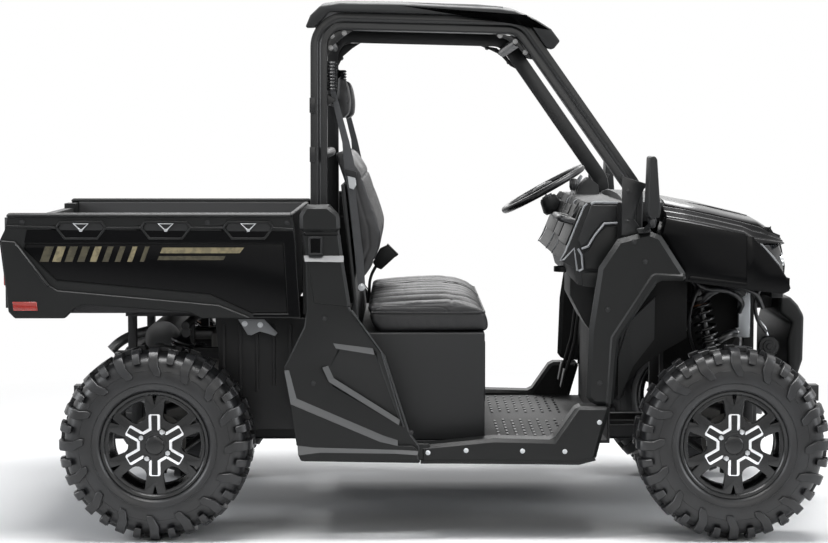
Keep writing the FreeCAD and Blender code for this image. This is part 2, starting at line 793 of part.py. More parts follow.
# Engine, gear housings, shafts and exhaust
ENGINE_SHARES = (0.075, 0.33, 0.46)
FRONT_CASE_SHARES = ((-0.02, 0.055), 0.19, (0.03, 0.19))
REAR_CASE_SHARES = (0.055, 0.19, (0.03, 0.21))
REAR_RECEIVER_SHARE = -0.195


def housing(name, x_span, y_share, z_shares):
    return block(name, x_span, centred(size.body_offset * y_share), (side_z(z_shares[0]), side_z(z_shares[1])))


engine_back, engine_y, engine_top = ENGINE_SHARES
engine_front = cab_x(CAGE_FOOT_SHARE) - size.rail_width * HALF_SHARE - size.engine_gap
engine_block = block("engine_block", (rear_x(engine_back), engine_front),
                     centred(size.body_offset * engine_y),
                     (size.floor_height + size.running_gap, side_z(engine_top)))
node("engine", [engine_block])
front_x, front_y, front_z = FRONT_CASE_SHARES
front_case_x = (front_axle + size.wheelbase * front_x[0], front_axle + size.wheelbase * front_x[1])
front_case = housing("front_case", front_case_x, front_y, front_z)
rear_front, rear_y, rear_z = REAR_CASE_SHARES
rear_case_x = (rear_x(REAR_RECEIVER_SHARE) + size.receiver_length + size.sheet_thickness, rear_x(rear_front))
rear_case = housing("rear_case", rear_case_x, rear_y, rear_z)
RACK_BODY_SHARE = 0.20
rack_x = front_axle - size.steering_arm_length
arm_top = size.tyre_radius + size.knuckle_half_height * ARM_HEIGHT_SHARE + size.steering_arm_thickness
rack_z = arm_top + size.linkage_gap + size.rod_end_radius
rack_reach = size.body_offset * RACK_BODY_SHARE
rack_bore = rod("rack_bore", "y", (rack_x, ZERO, rack_z), size.tie_rod_radius + size.running_gap,
                -(rack_reach + size.overrun), rack_reach + size.overrun)
rack_tube = rod("rack_tube", "y", (rack_x, ZERO, rack_z), size.boss_radius, -rack_reach, rack_reach)
post_front = tower_places()[0] + size.rail_width * HALF_SHARE + size.running_gap
rack_ear = block("rack_ear", (post_front, rack_x - size.tie_rod_radius - size.overrun),
                 (-rail_outer, -(rail_inner - size.rail_width * HALF_SHARE)),
                 (rack_z - size.rod_end_radius, rack_z + size.rod_end_radius))
rack_body = fuse("rack_body", [rack_tube] + pair(rack_ear))
node("gear_housings", [front_case, rear_case, cut("rack_housing", rack_body, rack_bore)])


def half_shaft(name, axle, case_share):
    inner = size.body_offset * case_share + size.running_gap
    bar = rod(name + "_bar", "y", (axle, ZERO, size.tyre_radius), size.shaft_radius,
              -kingpin_offset, -inner)
    return fuse(name, [bar, ball(name + "_joint", (axle, -kingpin_offset, size.tyre_radius),
                                 size.joint_ball_radius)])


prop_z = size.floor_height - size.moving_gap - size.shaft_radius
prop = rod("prop_shaft", "x", (ZERO, ZERO, prop_z), size.shaft_radius,
           rear_case_x[1] + size.running_gap, front_case_x[0] - size.running_gap)
node("drive_shafts", pair(half_shaft("front_half_shaft", front_axle, FRONT_CASE_SHARES[1]))
     + pair(half_shaft("rear_half_shaft", rear_axle, REAR_CASE_SHARES[1])) + [prop])

MUFFLER_SHARES = (-0.014, 0.43)
MUFFLER_LENGTH_SHARE = 0.31
MUFFLER_RADIUS_SHARE = 0.073
PIPE_END_SHARE = -0.118
muffler_centre = (rear_x(MUFFLER_SHARES[0]), ZERO, side_z(MUFFLER_SHARES[1]))
muffler_radius = size.side_height * MUFFLER_RADIUS_SHARE
muffler_half = size.body_offset * MUFFLER_LENGTH_SHARE
pipe_z = muffler_centre[2] - muffler_radius - size.boss_radius
drum = rod("muffler_drum", "y", muffler_centre, muffler_radius, -muffler_half, muffler_half)
drop = rod("muffler_drop", "z", muffler_centre, size.boss_radius, pipe_z - size.boss_radius, muffler_centre[2])
tail = rod("tail_pipe", "x", (ZERO, ZERO, pipe_z), size.boss_radius, rear_x(PIPE_END_SHARE),
           muffler_centre[0])
feed = rod("feed_pipe", "x", muffler_centre, size.boss_radius, muffler_centre[0],
           rear_x(engine_back) - size.running_gap)
node("muffler", [fuse("exhaust", [drum, drop, tail, feed])])

x_shares, y_share, z_shares = RADIATOR_SHARES
radiator_x = (nose_x(x_shares[0]), nose_x(x_shares[1]))
radiator_z = (side_z(z_shares[0]), side_z(z_shares[1]))
radiator_half = size.body_offset * y_share
tank = size.panel_thickness
core_inset = size.skin_thickness
core = block("radiator_core", (radiator_x[0] + core_inset, radiator_x[1]),
             centred(radiator_half - tank * HALF_SHARE), radiator_z)
tanks = [block("radiator_tank", radiator_x, (-radiator_half, -(radiator_half - tank)), radiator_z)]
node("radiator", [fuse("radiator_unit", [core] + pair(tanks[0]))])

# Floor pan with its toe board, and the moulded lower body
TOE_TOP_SHARE = 0.67
floor_top = size.floor_height + size.floor_thickness
toe_front = cab_front
floor_rear = cab_x(CAGE_FOOT_SHARE) + size.rail_width * HALF_SHARE + size.running_gap
toe_points = [(floor_rear, size.floor_height), (toe_front, size.floor_height),
              (toe_front, side_z(TOE_TOP_SHARE)),
              (toe_front - size.floor_thickness, side_z(TOE_TOP_SHARE)),
              (toe_front - size.floor_thickness, floor_top), (floor_rear, floor_top)]
node("floor_pan", [prism("floor_sheet", "XZ_Plane", toe_points, -floor_half, floor_half)])

SIDE_PANEL_SHARES = [(-0.027, 0.015), (0.362, 0.008), (0.362, 0.073), (0.329, 0.123), (0.247, 0.419),
                     (0.229, 0.448), (0.133, 0.595), (0.10, 0.70), (0.096, 0.958), (0.064, 0.999),
                     (-0.014, 0.997), (-0.018, 0.958), (-0.012, 0.60), (-0.02, 0.532), (-0.086, 0.378),
                     (-0.067, 0.244), (-0.041, 0.094)]
SIDE_RECESS_SHARES = [(0.10, 0.457), (0.215, 0.435), (0.30, 0.157), (0.078, 0.307), (0.057, 0.361)]


def side_panel():
    body = prism("side_panel", "XZ_Plane", outline(cab_x, side_z, SIDE_PANEL_SHARES),
                 -size.body_offset, -panel_inner)
    recess(body, "side_recess", "XZ_Plane", outline(cab_x, side_z, SIDE_RECESS_SHARES), size.recess_depth,
           size.body_offset - panel_inner, False)
    return body


node("side_panels", pair(side_panel()))

ROCKER_SHARES = [(0.3624, 0.005), (0.613, 0.005), (0.888, 0.0), (0.944, 0.016), (0.966, 0.113),
                 (0.995, 0.227), (0.931, 0.227), (0.882, 0.227), (0.804, 0.097), (0.608, 0.103),
                 (0.3624, 0.075)]
rocker_inner = floor_half + size.running_gap
node("rockers", pair(prism("rocker", "XZ_Plane", outline(cab_x, side_z, ROCKER_SHARES),
                           -size.body_offset, -rocker_inner)))

QUARTER_SHARES = [(0.023, 0.865), (0.19, 0.897), (0.255, 0.878), (0.385, 0.735), (0.386, 0.712),
                  (0.243, 0.712), (0.228, 0.698), (0.02, 0.483), (-0.012, 0.2275), (-0.105, 0.2275),
                  (-0.14, 0.26), (-0.127, 0.515), (-0.103, 0.64), (-0.077, 0.757)]
quarter_outer = size.body_offset - size.skin_thickness
node("front_quarters", pair(prism("quarter", "XZ_Plane", outline(nose_x, side_z, QUARTER_SHARES),
                                  -quarter_outer, -(quarter_outer - size.panel_thickness))))

FENDER_LOW_SHARES = [(0.276, 0.872), (0.398, 0.735), (0.40, 0.697), (0.929, 0.648), (0.964, 0.661)]
FENDER_HIGH_SHARES = [(0.766, 0.87), (0.30, 0.94)]
LAMP_SHARES = [(0.79, 0.84), (0.965, 0.84), (0.975, 0.79), (0.965, 0.71), (0.82, 0.72)]
FENDER_OUTER_SHARE = 0.86
fender_inner = size.hood_offset + size.moving_gap
fender_outer = size.body_offset * FENDER_OUTER_SHARE
lamp_points = outline(nose_x, side_z, LAMP_SHARES)
seat_points = [(a, b - size.running_gap) for a, b in lamp_points[3:]]
seat_points.append((lamp_points[4][0] - size.running_gap, lamp_points[4][1]))
seat_points.append((lamp_points[0][0] - size.running_gap, lamp_points[0][1]))
fender_points = (outline(nose_x, side_z, FENDER_LOW_SHARES) + seat_points
                 + outline(nose_x, side_z, FENDER_HIGH_SHARES))
node("front_fenders", pair(prism("fender", "XZ_Plane", fender_points, -fender_outer, -fender_inner)))

HOOD_CROWN_SHARES = [(-1.0, 0.0), (-0.85, 0.45), (-0.5, 0.85), (0.0, 1.0), (0.5, 0.85), (0.85, 0.45),
                     (1.0, 0.0)]


def raised(points, rise):
    return [(along, upward + rise) for along, upward in points]


HOOD_TOP_SHARES = [(0.326, 0.986), (0.576, 0.951), (0.839, 0.906), (0.90, 0.882)]
hood_top = outline(nose_x, side_z, HOOD_TOP_SHARES)
hood_under = [(a, b - size.hood_thickness) for a, b in reversed(hood_top)]
hood_half = size.hood_offset
HOOD_HINGE_SHARES = (0.885, 0.888)
hinge_at = (nose_x(HOOD_HINGE_SHARES[0]), ZERO,
            side_z(HOOD_HINGE_SHARES[1]) - size.hood_thickness * HALF_SHARE)
lug_inner = hood_half + size.moving_gap
lug_outer = lug_inner + size.sheet_thickness
hood_sections = [(hood_half * -y_share, raised(hood_top + hood_under, size.hood_crown * rise_share))
                 for y_share, rise_share in HOOD_CROWN_SHARES]
hood_skin = loft("hood_skin", "XZ_Plane", hood_sections)
hood_pin = rod("hood_pin", "y", hinge_at, size.hinge_pin_radius, -lug_outer, -(hood_half - size.overrun))
node("hood", [fuse("hood_panel", [hood_skin] + pair(hood_pin))])

FASCIA_SHARES = [(0.911, 0.876), (0.967, 0.855), (0.983, 0.805), (1.0, 0.74), (0.99, 0.6124),
                 (0.93, 0.6124), (0.925, 0.80)]
FASCIA_WIDTH_SHARE = 0.55
fascia_half = size.body_offset * FASCIA_WIDTH_SHARE
fascia_points = outline(nose_x, side_z, FASCIA_SHARES)
fascia_shell = prism("fascia_shell", "XZ_Plane", fascia_points, -fascia_half, fascia_half)
SLOT_Z_SHARES = (0.64, 0.685, 0.73, 0.775)
SLOT_HALF_SHARE = 0.78
slot_x = (nose_x(FASCIA_SHARES[5][0]) - size.overrun, nose_x(FASCIA_SHARES[3][0]) + size.overrun)
slots = [block("grille_slot_%d" % k, slot_x, centred(fascia_half * SLOT_HALF_SHARE),
               (side_z(share), side_z(share) + size.slot_height)) for k, share in enumerate(SLOT_Z_SHARES)]
fascia_grille = cut("fascia_grille", fascia_shell, fuse("grille_slots", slots))
EAR_SHARES = ((0.865, 0.955), (0.858, 0.902))
LUG_ARM_SHARES = ((0.93, 0.955), (0.845, 0.862))


def hinge_lug():
    """An ear beside the hood's front corner that takes its hinge pin."""
    ear = block("hinge_ear", (nose_x(EAR_SHARES[0][0]), nose_x(EAR_SHARES[0][1])), (-lug_outer, -lug_inner),
                (side_z(EAR_SHARES[1][0]), side_z(EAR_SHARES[1][1])))
    arm_piece = block("hinge_arm", (nose_x(LUG_ARM_SHARES[0][0]), nose_x(LUG_ARM_SHARES[0][1])),
                      (-lug_outer, -(fascia_half - size.overrun)),
                      (side_z(LUG_ARM_SHARES[1][0]), side_z(LUG_ARM_SHARES[1][1])))
    bore = rod("hinge_bore", "y", hinge_at, size.hinge_pin_radius + size.running_gap,
               -(lug_outer + size.overrun), -(lug_inner - size.overrun))
    return cut("hinge_lug", fuse("hinge_lug_whole", [ear, arm_piece]), bore)


node("fascia", [fuse("fascia_unit", [fascia_grille] + pair(hinge_lug()))])

COWL_REAR_SHARE = 1.055
COWL_SHARES = [(0.312, 0.995), (0.312, 0.983)]
COWL_LOW_SHARES = [(0.36, 0.94), (0.29, 0.92)]
LEDGE_SHARES = (0.312, 0.36)
cowl_half = size.hood_offset + size.moving_gap - size.running_gap


def hood_rest(share):
    """A point just below the rear part of the hood's skin."""
    (x_0, z_0), (x_1, z_1) = HOOD_TOP_SHARES[0:2]
    height = side_z(z_0 + (z_1 - z_0) * (share - x_0) / (x_1 - x_0))
    return (nose_x(share), height - size.hood_thickness - size.running_gap)


cowl_rear = cab_x(COWL_REAR_SHARE) + size.running_gap
cowl_points = [(cowl_rear, side_z(1.0))] + outline(nose_x, side_z, COWL_SHARES)
cowl_points += [hood_rest(share) for share in LEDGE_SHARES]
cowl_points += outline(nose_x, side_z, COWL_LOW_SHARES) + [(cowl_rear, side_z(COWL_LOW_SHARES[1][1]))]
low_points = cowl_points[-3:]
cowl_sections = [(cowl_half, cowl_points)]
cowl_sections += [(hood_half * -y_share, raised(cowl_points[:-3], size.hood_crown * rise_share) + low_points)
                  for y_share, rise_share in HOOD_CROWN_SHARES]
cowl_sections.append((-cowl_half, cowl_points))
node("cowl", [loft("cowl_panel", "XZ_Plane", cowl_sections)])

lamp_inner = fascia_half + size.running_gap
node("headlamps", pair(prism("headlamp", "XZ_Plane", lamp_points, -fender_outer, -lamp_inner)))

BUMPER_WIDTH_SHARE = 0.47
bumper_half = size.body_offset * BUMPER_WIDTH_SHARE
node("front_bumper", [prism("bumper_cover", "XZ_Plane", outline(nose_x, side_z, BUMPER_SHARES),
                            -bumper_half, bumper_half)])

INNER_FENDER_SHARES = [(0.094, 0.545), (0.10, 0.39), (0.094, 0.10)]
INNER_FENDER_HEIGHT_SHARES = (0.10, 0.54)
inner_fender_outer = size.wheel_outer_offset - size.rear_tyre_width - size.recess_depth - size.recess_depth
inner_fender_low = inner_fender_outer - size.sheet_thickness
inner_fender_front = cab_x(CAGE_FOOT_SHARE) - size.rail_width * HALF_SHARE - size.running_gap
inner_fender_points = outline(rear_x, side_z, INNER_FENDER_SHARES)
inner_fender_points += [(inner_fender_front, side_z(share)) for share in INNER_FENDER_HEIGHT_SHARES]
node("inner_fenders", pair(prism("inner_fender", "XZ_Plane", inner_fender_points,
                                 -inner_fender_outer, -inner_fender_low)))


# Dashboard with a bore for the steering column, and the steering
DASH_SHARES = [(1.055, 1.0), (0.922, 1.0), (0.848, 0.807), (0.832, 0.778), (0.878, 0.748), (0.894, 0.681),
               (0.957, 0.672), (0.985, 0.672), (1.055, 0.846)]
WHEEL_CENTRE_SHARES = (0.833, 1.0205)
DASH_WIDTH_SHARE = 0.80
CONSOLE_SHARES = [(0.90, 0.672), (0.90, 0.60), (0.945, 0.50), (0.975, 0.45), (0.99, 0.45), (0.99, 0.672)]
CONSOLE_WIDTH_SHARE = 0.2
POD_SHARES = [(0.952, 0.99), (0.962, 1.035), (1.0, 1.072), (1.035, 1.04), (1.04, 0.99)]
POD_WIDTH_SHARE = 1.8
SHELF_SHARES = [(0.86, 0.93), (0.96, 0.93), (0.975, 0.85), (0.86, 0.83)]
SHELF_SPAN_SHARES = (-0.88, -0.28)
tilt = math.radians(float(size.steering_tilt))
column_way = Vector(math.sin(tilt), 0, -math.cos(tilt))
wheel_centre = (cab_x(WHEEL_CENTRE_SHARES[0]), size.steering_offset, side_z(WHEEL_CENTRE_SHARES[1]))


def down_column(distance):
    """A point on the column's axis, that far below the steering wheel's centre."""
    return (wheel_centre[0] + distance * column_way.x, wheel_centre[1], wheel_centre[2] + distance * column_way.z)


dash_half = size.body_offset * DASH_WIDTH_SHARE
console_half = size.body_offset * CONSOLE_WIDTH_SHARE
dash_points = outline(cab_x, side_z, DASH_SHARES)
dash = prism("dash_moulding", "XZ_Plane", dash_points, -dash_half, dash_half)
console_points = outline(cab_x, side_z, CONSOLE_SHARES)
console = prism("console", "XZ_Plane", console_points, -console_half, console_half)
pod_y = (size.steering_offset - size.panel_thickness * POD_WIDTH_SHARE,
         size.steering_offset + size.panel_thickness * POD_WIDTH_SHARE)
pod = prism("gauge_pod", "XZ_Plane", outline(cab_x, side_z, POD_SHARES), pod_y[0], pod_y[1])
column_bore = strut("column_bore", down_column(ZERO), down_column(size.column_length + size.column_length),
                    size.column_radius + size.running_gap)
shelf_points = outline(cab_x, side_z, SHELF_SHARES)
shelf_y = [dash_half * share for share in SHELF_SPAN_SHARES]
shelf = prism("dash_shelf", "XZ_Plane", shelf_points, *shelf_y)
dash_open = cut("dash_open", dash, shelf)
node("dashboard", [cut("dash_bored", fuse("dash_whole", [dash_open, console, pod]), column_bore)])

HUB_GAP_SHARE = 0.10
column_top = size.column_length * HUB_GAP_SHARE
node("steering_column", [strut("column_tube", down_column(column_top), down_column(size.column_length),
                               size.column_radius)])


GRIP_SIDES = 8
BOSS_SHARE = 1.3
SPOKE_WIDTH_SHARE = 0.7
WHEEL_SPOKE_ANGLES = (90, 210, 330)


def wheel_grip():
    """The wheel's rim, an eight-sided section revolved about the column."""
    made = doc.addObject("Part::Feature", "grip")
    radius = float(size.steering_grip_radius)
    middle = Vector(float(size.steering_wheel_radius), 0, 0)
    turns = [2 * math.pi * k / GRIP_SIDES for k in range(GRIP_SIDES + 1)]
    section = [middle + Vector(math.cos(turn), 0, math.sin(turn)) * radius for turn in turns]
    made.Shape = Part.Face(Part.makePolygon(section)).revolve(Vector(), Vector(0, 0, 1), 360)
    return made


def steering_wheel():
    hub = rod("wheel_boss", "z", (ZERO, ZERO, ZERO), size.column_radius * BOSS_SHARE,
              -(column_top - size.running_gap), size.steering_grip_radius)
    pieces = [wheel_grip(), hub]
    width = size.panel_thickness * SPOKE_WIDTH_SHARE
    half = width * HALF_SHARE
    for k, angle in enumerate(WHEEL_SPOKE_ANGLES):
        spoke = doc.addObject("Part::Box", "spoke_%d" % k)
        bind(spoke, "Length", size.steering_wheel_radius)
        bind(spoke, "Width", width)
        bind(spoke, "Height", size.steering_grip_radius)
        turn = math.radians(angle)
        spoke.Placement.Rotation = FreeCAD.Rotation(Vector(0, 0, 1), angle)
        place(spoke, (half * math.sin(turn), half * -math.cos(turn), -(size.steering_grip_radius * HALF_SHARE)))
        pieces.append(spoke)
    whole = fuse("steering_wheel_unit", pieces)
    whole.Placement.Rotation = FreeCAD.Rotation(Vector(0, 1, 0), -float(size.steering_tilt))
    place(whole, wheel_centre)
    return whole


node("steering_wheel", [steering_wheel()])

tie_bar = rod("tie_bar", "y", (rack_x, ZERO, rack_z), size.tie_rod_radius, -kingpin_offset, kingpin_offset)
tie_ends = [rod("tie_end", "z", (rack_x, -kingpin_offset, ZERO), size.rod_end_radius,
                rack_z - size.rod_end_radius, rack_z + size.rod_end_radius)]
node("tie_rods", [fuse("tie_rod_set", [tie_bar] + pair(tie_ends[0]))])

# Seats on a hollow-looking base with back shells
BASE_SHARES = ((0.058, 0.58), 0.497)
SHELL_SHARES = [(0.1626, 0.497), (0.112, 1.07), (0.098, 1.07), (0.138, 0.62), (0.112, 0.497)]
SEAT_HALF_SHARE = 0.85

CUSHION_SHARES = [(0.187, 0.595), (0.189, 0.631), (0.471, 0.647), (0.546, 0.62), (0.589, 0.559),
                  (0.593, 0.515), (0.585, 0.497), (0.20, 0.497)]
BACK_SHARES = [(0.151, 1.122), (0.207, 0.943), (0.221, 0.883), (0.219, 0.832), (0.196, 0.768),
               (0.165, 0.66), (0.150, 0.64), (0.112, 1.07), (0.085, 1.18), (0.11, 1.185)]
HEADREST_SHARES = [(0.088, 0.8366), (0.109, 0.832), (0.121, 0.7502), (0.121, 0.7294), (0.095, 0.7093),
                   (0.085, 0.7155)]
SEAT_SPLIT_SHARE = 0.2
HEADREST_SPAN_SHARES = ((-0.72, -0.38), (0.45, 0.78))
split = size.seat_offset * SEAT_SPLIT_SHARE
SEAT_GAP_SHARE = 0.7
seat_gap = size.panel_thickness * SEAT_GAP_SHARE
seat_spans = ((-size.seat_offset, split), (split + seat_gap, size.seat_offset))


def cage_z(share):
    """A height as a share of the roll cage's rise above its feet."""
    return size.rops_foot_height + (size.rops_height - size.rops_foot_height) * share


def seat_pads(name, shares, ahead, lift):
    pads = []
    for k, span in enumerate(seat_spans):
        points = [(a + ahead, b + lift) for a, b in outline(cab_x, side_z, shares)]
        pads.append(prism("%s_%d" % (name, k), "XZ_Plane", points, span[0], span[1]))
    return pads


base_half = size.body_offset * SEAT_HALF_SHARE
base_top = side_z(BASE_SHARES[1])
seat_box = block("seat_box", (cab_x(BASE_SHARES[0][0]), cab_x(BASE_SHARES[0][1])), centred(base_half),
                 (floor_top + size.running_gap, base_top))
node("seat_base", [fuse("seat_box_and_shells", [seat_box] + seat_pads("back_shell", SHELL_SHARES, ZERO, ZERO))])
node("seat_cushions", seat_pads("cushion", CUSHION_SHARES, ZERO, size.running_gap))
node("seat_backs", seat_pads("back", BACK_SHARES, size.running_gap, ZERO))
headrests = [prism("headrest_%d" % k, "XZ_Plane", outline(cab_x, cage_z, HEADREST_SHARES),
                   size.seat_offset * span[0], size.seat_offset * span[1])
             for k, span in enumerate(HEADREST_SPAN_SHARES)]
node("headrests", headrests)

STRAP_TOP_SHARES = [(0.06, 0.7927), (0.103, 0.7927)]
STRAP_SHARES = [(0.163, 1.114), (0.155, 0.497), (0.112, 0.497), (0.12, 1.114)]
strap_offset = size.seat_offset + size.recess_depth
strap_points = outline(cab_x, cage_z, STRAP_TOP_SHARES) + outline(cab_x, side_z, STRAP_SHARES)
strap = prism("strap", "XZ_Plane", [(a, b + size.running_gap) for a, b in strap_points],
              -(strap_offset + size.strap_thickness), -strap_offset)
node("seat_belts", pair(strap))

# Roll cage of side hoops and cross bars
CAGE_SHARES = [(0.027, 0.0), (0.027, 1.0), (0.695, 0.985), (1.076, 0.50), (1.072, 0.36)]


def cage_point(x_share, rise_share):
    """A point of the side hoop, in the plane of the hoop before it leans in."""
    rise = (size.rops_height - size.rops_foot_height) * rise_share
    return Vector(float(cab_x(x_share)), 0, float(rise))


def bent_path(points, radius):
    """Straight runs joined by arcs that are tangent to both."""
    edges = []
    start = points[0]
    for before, corner, after in zip(points, points[1:], points[2:]):
        inward = (before - corner).normalize()
        outward = (after - corner).normalize()
        half_angle = inward.getAngle(outward) * HALF_SHARE
        reach = radius / math.tan(half_angle)
        arc_start = corner + inward * reach
        arc_end = corner + outward * reach
        middle_way = (inward + outward).normalize()
        arc_middle = corner + middle_way * (radius / math.sin(half_angle) - radius)
        edges.append(Part.LineSegment(start, arc_start).toShape())
        edges.append(Part.Arc(arc_start, arc_middle, arc_end).toShape())
        start = arc_end
    edges.append(Part.LineSegment(start, points[-1]).toShape())
    return Part.Wire(edges)


HOOP_LIFT_SHARE = 0.04
hoop_foot = size.upper_rail_height + size.rops_depth * HOOP_LIFT_SHARE


def side_hoop():
    points = [cage_point(x, z) for x, z in CAGE_SHARES]
    path = bent_path(points, float(size.rops_bend_radius))
    half_width = float(size.rops_width * HALF_SHARE)
    half_depth = float(size.rops_depth * HALF_SHARE)
    groove = float(size.rops_groove)
    start = points[0]
    corners = [(-half_width, -half_depth), (-groove, -half_depth), (0, groove - half_depth),
               (groove, -half_depth), (half_width, -half_depth), (half_width, half_depth),
               (-half_width, half_depth)]
    ring = [start + Vector(x, y, 0) for x, y in corners]
    profile = Part.makePolygon(ring + [ring[0]])
    hoop = doc.addObject("Part::Feature", "side_hoop")
    hoop.Shape = path.makePipeShell([profile], True, False, 1)
    hoop.Placement.Rotation = FreeCAD.Rotation(Vector(1, 0, 0), -float(size.rops_lean))
    place(hoop, (ZERO, -size.rops_foot_offset, hoop_foot))
    return hoop


node("rops_sides", pair(side_hoop()))

lean = math.tan(math.radians(float(size.rops_lean)))
BAR_SHARES = [(0.027, 0.60), (0.04, 0.955), (0.69, 0.94), (0.027, 0.29)]
HEADREST_BAR_SHARES = (0.03, 0.77)
HEADREST_REAR_SHARE = 0.0858


def cross_bar(name, x_share, rise_share):
    rise = (size.rops_height - size.rops_foot_height) * rise_share
    reach = (size.rops_foot_offset - rise * lean - size.rops_depth * HALF_SHARE
             - size.rops_bar_radius * lean - size.running_gap)
    z = size.upper_rail_height + rise
    return rod(name, "y", (cab_x(x_share), ZERO, z), size.rops_bar_radius, -reach, reach)


def headrest_bar():
    """The cross bar that carries the headrests on two blocks."""
    x_share, rise_share = HEADREST_BAR_SHARES
    z = size.upper_rail_height + (size.rops_height - size.rops_foot_height) * rise_share
    pieces = [cross_bar("headrest_bar", x_share, rise_share)]
    x_span = (cab_x(x_share), cab_x(HEADREST_REAR_SHARE) - size.running_gap)
    z_span = (z - size.rops_bar_radius, z + size.rops_bar_radius)
    for k, (low, high) in enumerate(HEADREST_SPAN_SHARES):
        middle = size.seat_offset * ((low + high) * HALF_SHARE)
        y_span = (middle - size.rops_width * HALF_SHARE, middle + size.rops_width * HALF_SHARE)
        pieces.append(block("headrest_block_%d" % k, x_span, y_span, z_span))
    return fuse("headrest_carrier", pieces)


cage_bars = [cross_bar("cage_bar_%d" % k, x, z) for k, (x, z) in enumerate(BAR_SHARES)]
node("rops_cross_bars", cage_bars + [headrest_bar()])

# Roof moulding, higher along its middle
ROOF_TOP_SHARES = [(-0.017, -1.4), (-0.001, -0.72), (0.032, -0.16), (0.098, 0.0), (0.296, -0.05),
                   (0.486, -0.2), (0.626, -0.32), (0.676, -0.46), (0.751, -1.0), (0.797, -1.5),
                   (0.827, -2.2), (0.805, -2.66)]
ROOF_WRAP_SHARES = (1.8, 0.9)
ROOF_CROWN_SHARES = ((-0.95, 0.0), (-0.83, 0.0), (-0.55, 0.7), (0.0, 1.0), (0.55, 0.7), (0.83, 0.0),
                     (0.95, 0.0))
roof_edge = size.rops_height + size.roof_rise


def hoop_top(x_share):
    """Height of the top of the side hoop's long upper run."""
    (x_0, rise_0), (x_1, rise_1) = CAGE_SHARES[1:3]
    rise_share = rise_0 + (rise_1 - rise_0) * (x_share - x_0) / (x_1 - x_0)
    rise = (size.rops_height - size.rops_foot_height) * rise_share + size.rops_width * HALF_SHARE
    upright = math.cos(math.radians(float(size.rops_lean)))
    return hoop_foot + rise * upright + size.rops_depth * (lean * HALF_SHARE)


RIGHT_ANGLE = 90


def roof_rest():
    """The roof's underside, which clears both bends of the hoop and lies on its upper run."""
    lift = size.running_gap + size.running_gap
    (x_1, rise_1), (x_2, rise_2) = CAGE_SHARES[2:4]
    fall = (size.rops_height - size.rops_foot_height) * (rise_1 - rise_2)
    slope = float(fall) / float(cab_length * (x_2 - x_1))
    half_turn = math.atan(slope) * HALF_SHARE
    front_x = cab_x(x_1) + size.rops_width * (math.tan(half_turn) * HALF_SHARE) + lift
    front_z = hoop_top(x_1) + lift
    front_drop = size.roof_rise * ROOF_WRAP_SHARES[0]
    bend = size.rops_bend_radius + size.rops_width * HALF_SHARE + lift
    half_corner = math.radians(RIGHT_ANGLE * HALF_SHARE * HALF_SHARE)
    rear_x_0 = cab_x(CAGE_SHARES[1][0]) + size.rops_bend_radius - bend * math.tan(half_corner)
    rear_z = hoop_top(CAGE_SHARES[1][0]) + lift
    rear_drop = size.roof_rise * ROOF_WRAP_SHARES[1]
    return [(front_x + front_drop * (1 / slope), front_z - front_drop), (front_x, front_z),
            (rear_x_0, rear_z), (rear_x_0 - rear_drop, rear_z - rear_drop)]


def roof_section(crown_share):
    rise = size.roof_crown * crown_share
    points = []
    for x_share, drop_share in ROOF_TOP_SHARES:
        points.append((cab_x(x_share), roof_edge + rise + size.roof_rise * drop_share))
    for x, z in roof_rest():
        points.append((x, z + rise))
    return points


roof_sections = []
for y_share, crown_share in ROOF_CROWN_SHARES:
    roof_sections.append((size.rops_foot_offset * -y_share, roof_section(crown_share)))
node("roof", [loft("roof_moulding", "XZ_Plane", roof_sections)])

MIRROR_SHARES = (1.10, 0.953)
MIRROR_TAPER_SHARE = 0.8
MIRROR_FOOT_SHARES = (0.15, 0.8893)
mirror_x = cab_x(MIRROR_SHARES[0])
mirror_z = side_z(MIRROR_SHARES[1])
mirror_points = [(mirror_x, mirror_z), (mirror_x + size.mirror_thickness, mirror_z),
                 (mirror_x + size.mirror_thickness * MIRROR_TAPER_SHARE, mirror_z + size.mirror_height),
                 (mirror_x, mirror_z + size.mirror_height)]
mirror_half = size.mirror_width * HALF_SHARE
mirror_head = prism("mirror_head", "XZ_Plane", mirror_points, -(size.mirror_offset + mirror_half),
                    -(size.mirror_offset - mirror_half))
stalk_top = (mirror_x + size.mirror_thickness * HALF_SHARE, -size.mirror_offset, mirror_z + size.overrun)
stalk_foot = (nose_x(MIRROR_FOOT_SHARES[0]), -quarter_outer + size.panel_thickness * HALF_SHARE,
              side_z(MIRROR_FOOT_SHARES[1]) + size.gate_pin_radius)
mirror_stalk = strut("mirror_stalk", stalk_top, stalk_foot, size.gate_pin_radius)
node("side_mirrors", pair(fuse("mirror", [mirror_head, mirror_stalk])))


# Hitch receivers, square sockets at the front and rear
def receiver(name, x_span, pin_x):
    half = size.receiver_outer * HALF_SHARE
    inner = size.receiver_inner * HALF_SHARE
    z_middle = size.receiver_height
    outer = block(name + "_outer", x_span, centred(half), (z_middle - half, z_middle + half))
    hole = block(name + "_hole", (x_span[0] - size.overrun, x_span[1] + size.overrun), centred(inner),
                 (z_middle - inner, z_middle + inner))
    pin_hole = rod(name + "_pin_hole", "y", (pin_x, ZERO, z_middle), size.hitch_pin_radius,
                   -(half + size.overrun), half + size.overrun)
    return cut(name, cut(name + "_tube", outer, hole), pin_hole)


front_end = front_axle + size.front_overhang
rear_end = rear_x(REAR_RECEIVER_SHARE)
front_receiver = receiver("front_receiver", (front_end - size.receiver_length, front_end),
                          front_end - size.hitch_pin_inset)
rear_receiver = receiver("rear_receiver", (rear_end, rear_end + size.receiver_length),
                         rear_end + size.hitch_pin_inset)
node("hitch_receivers", [front_receiver, rear_receiver])


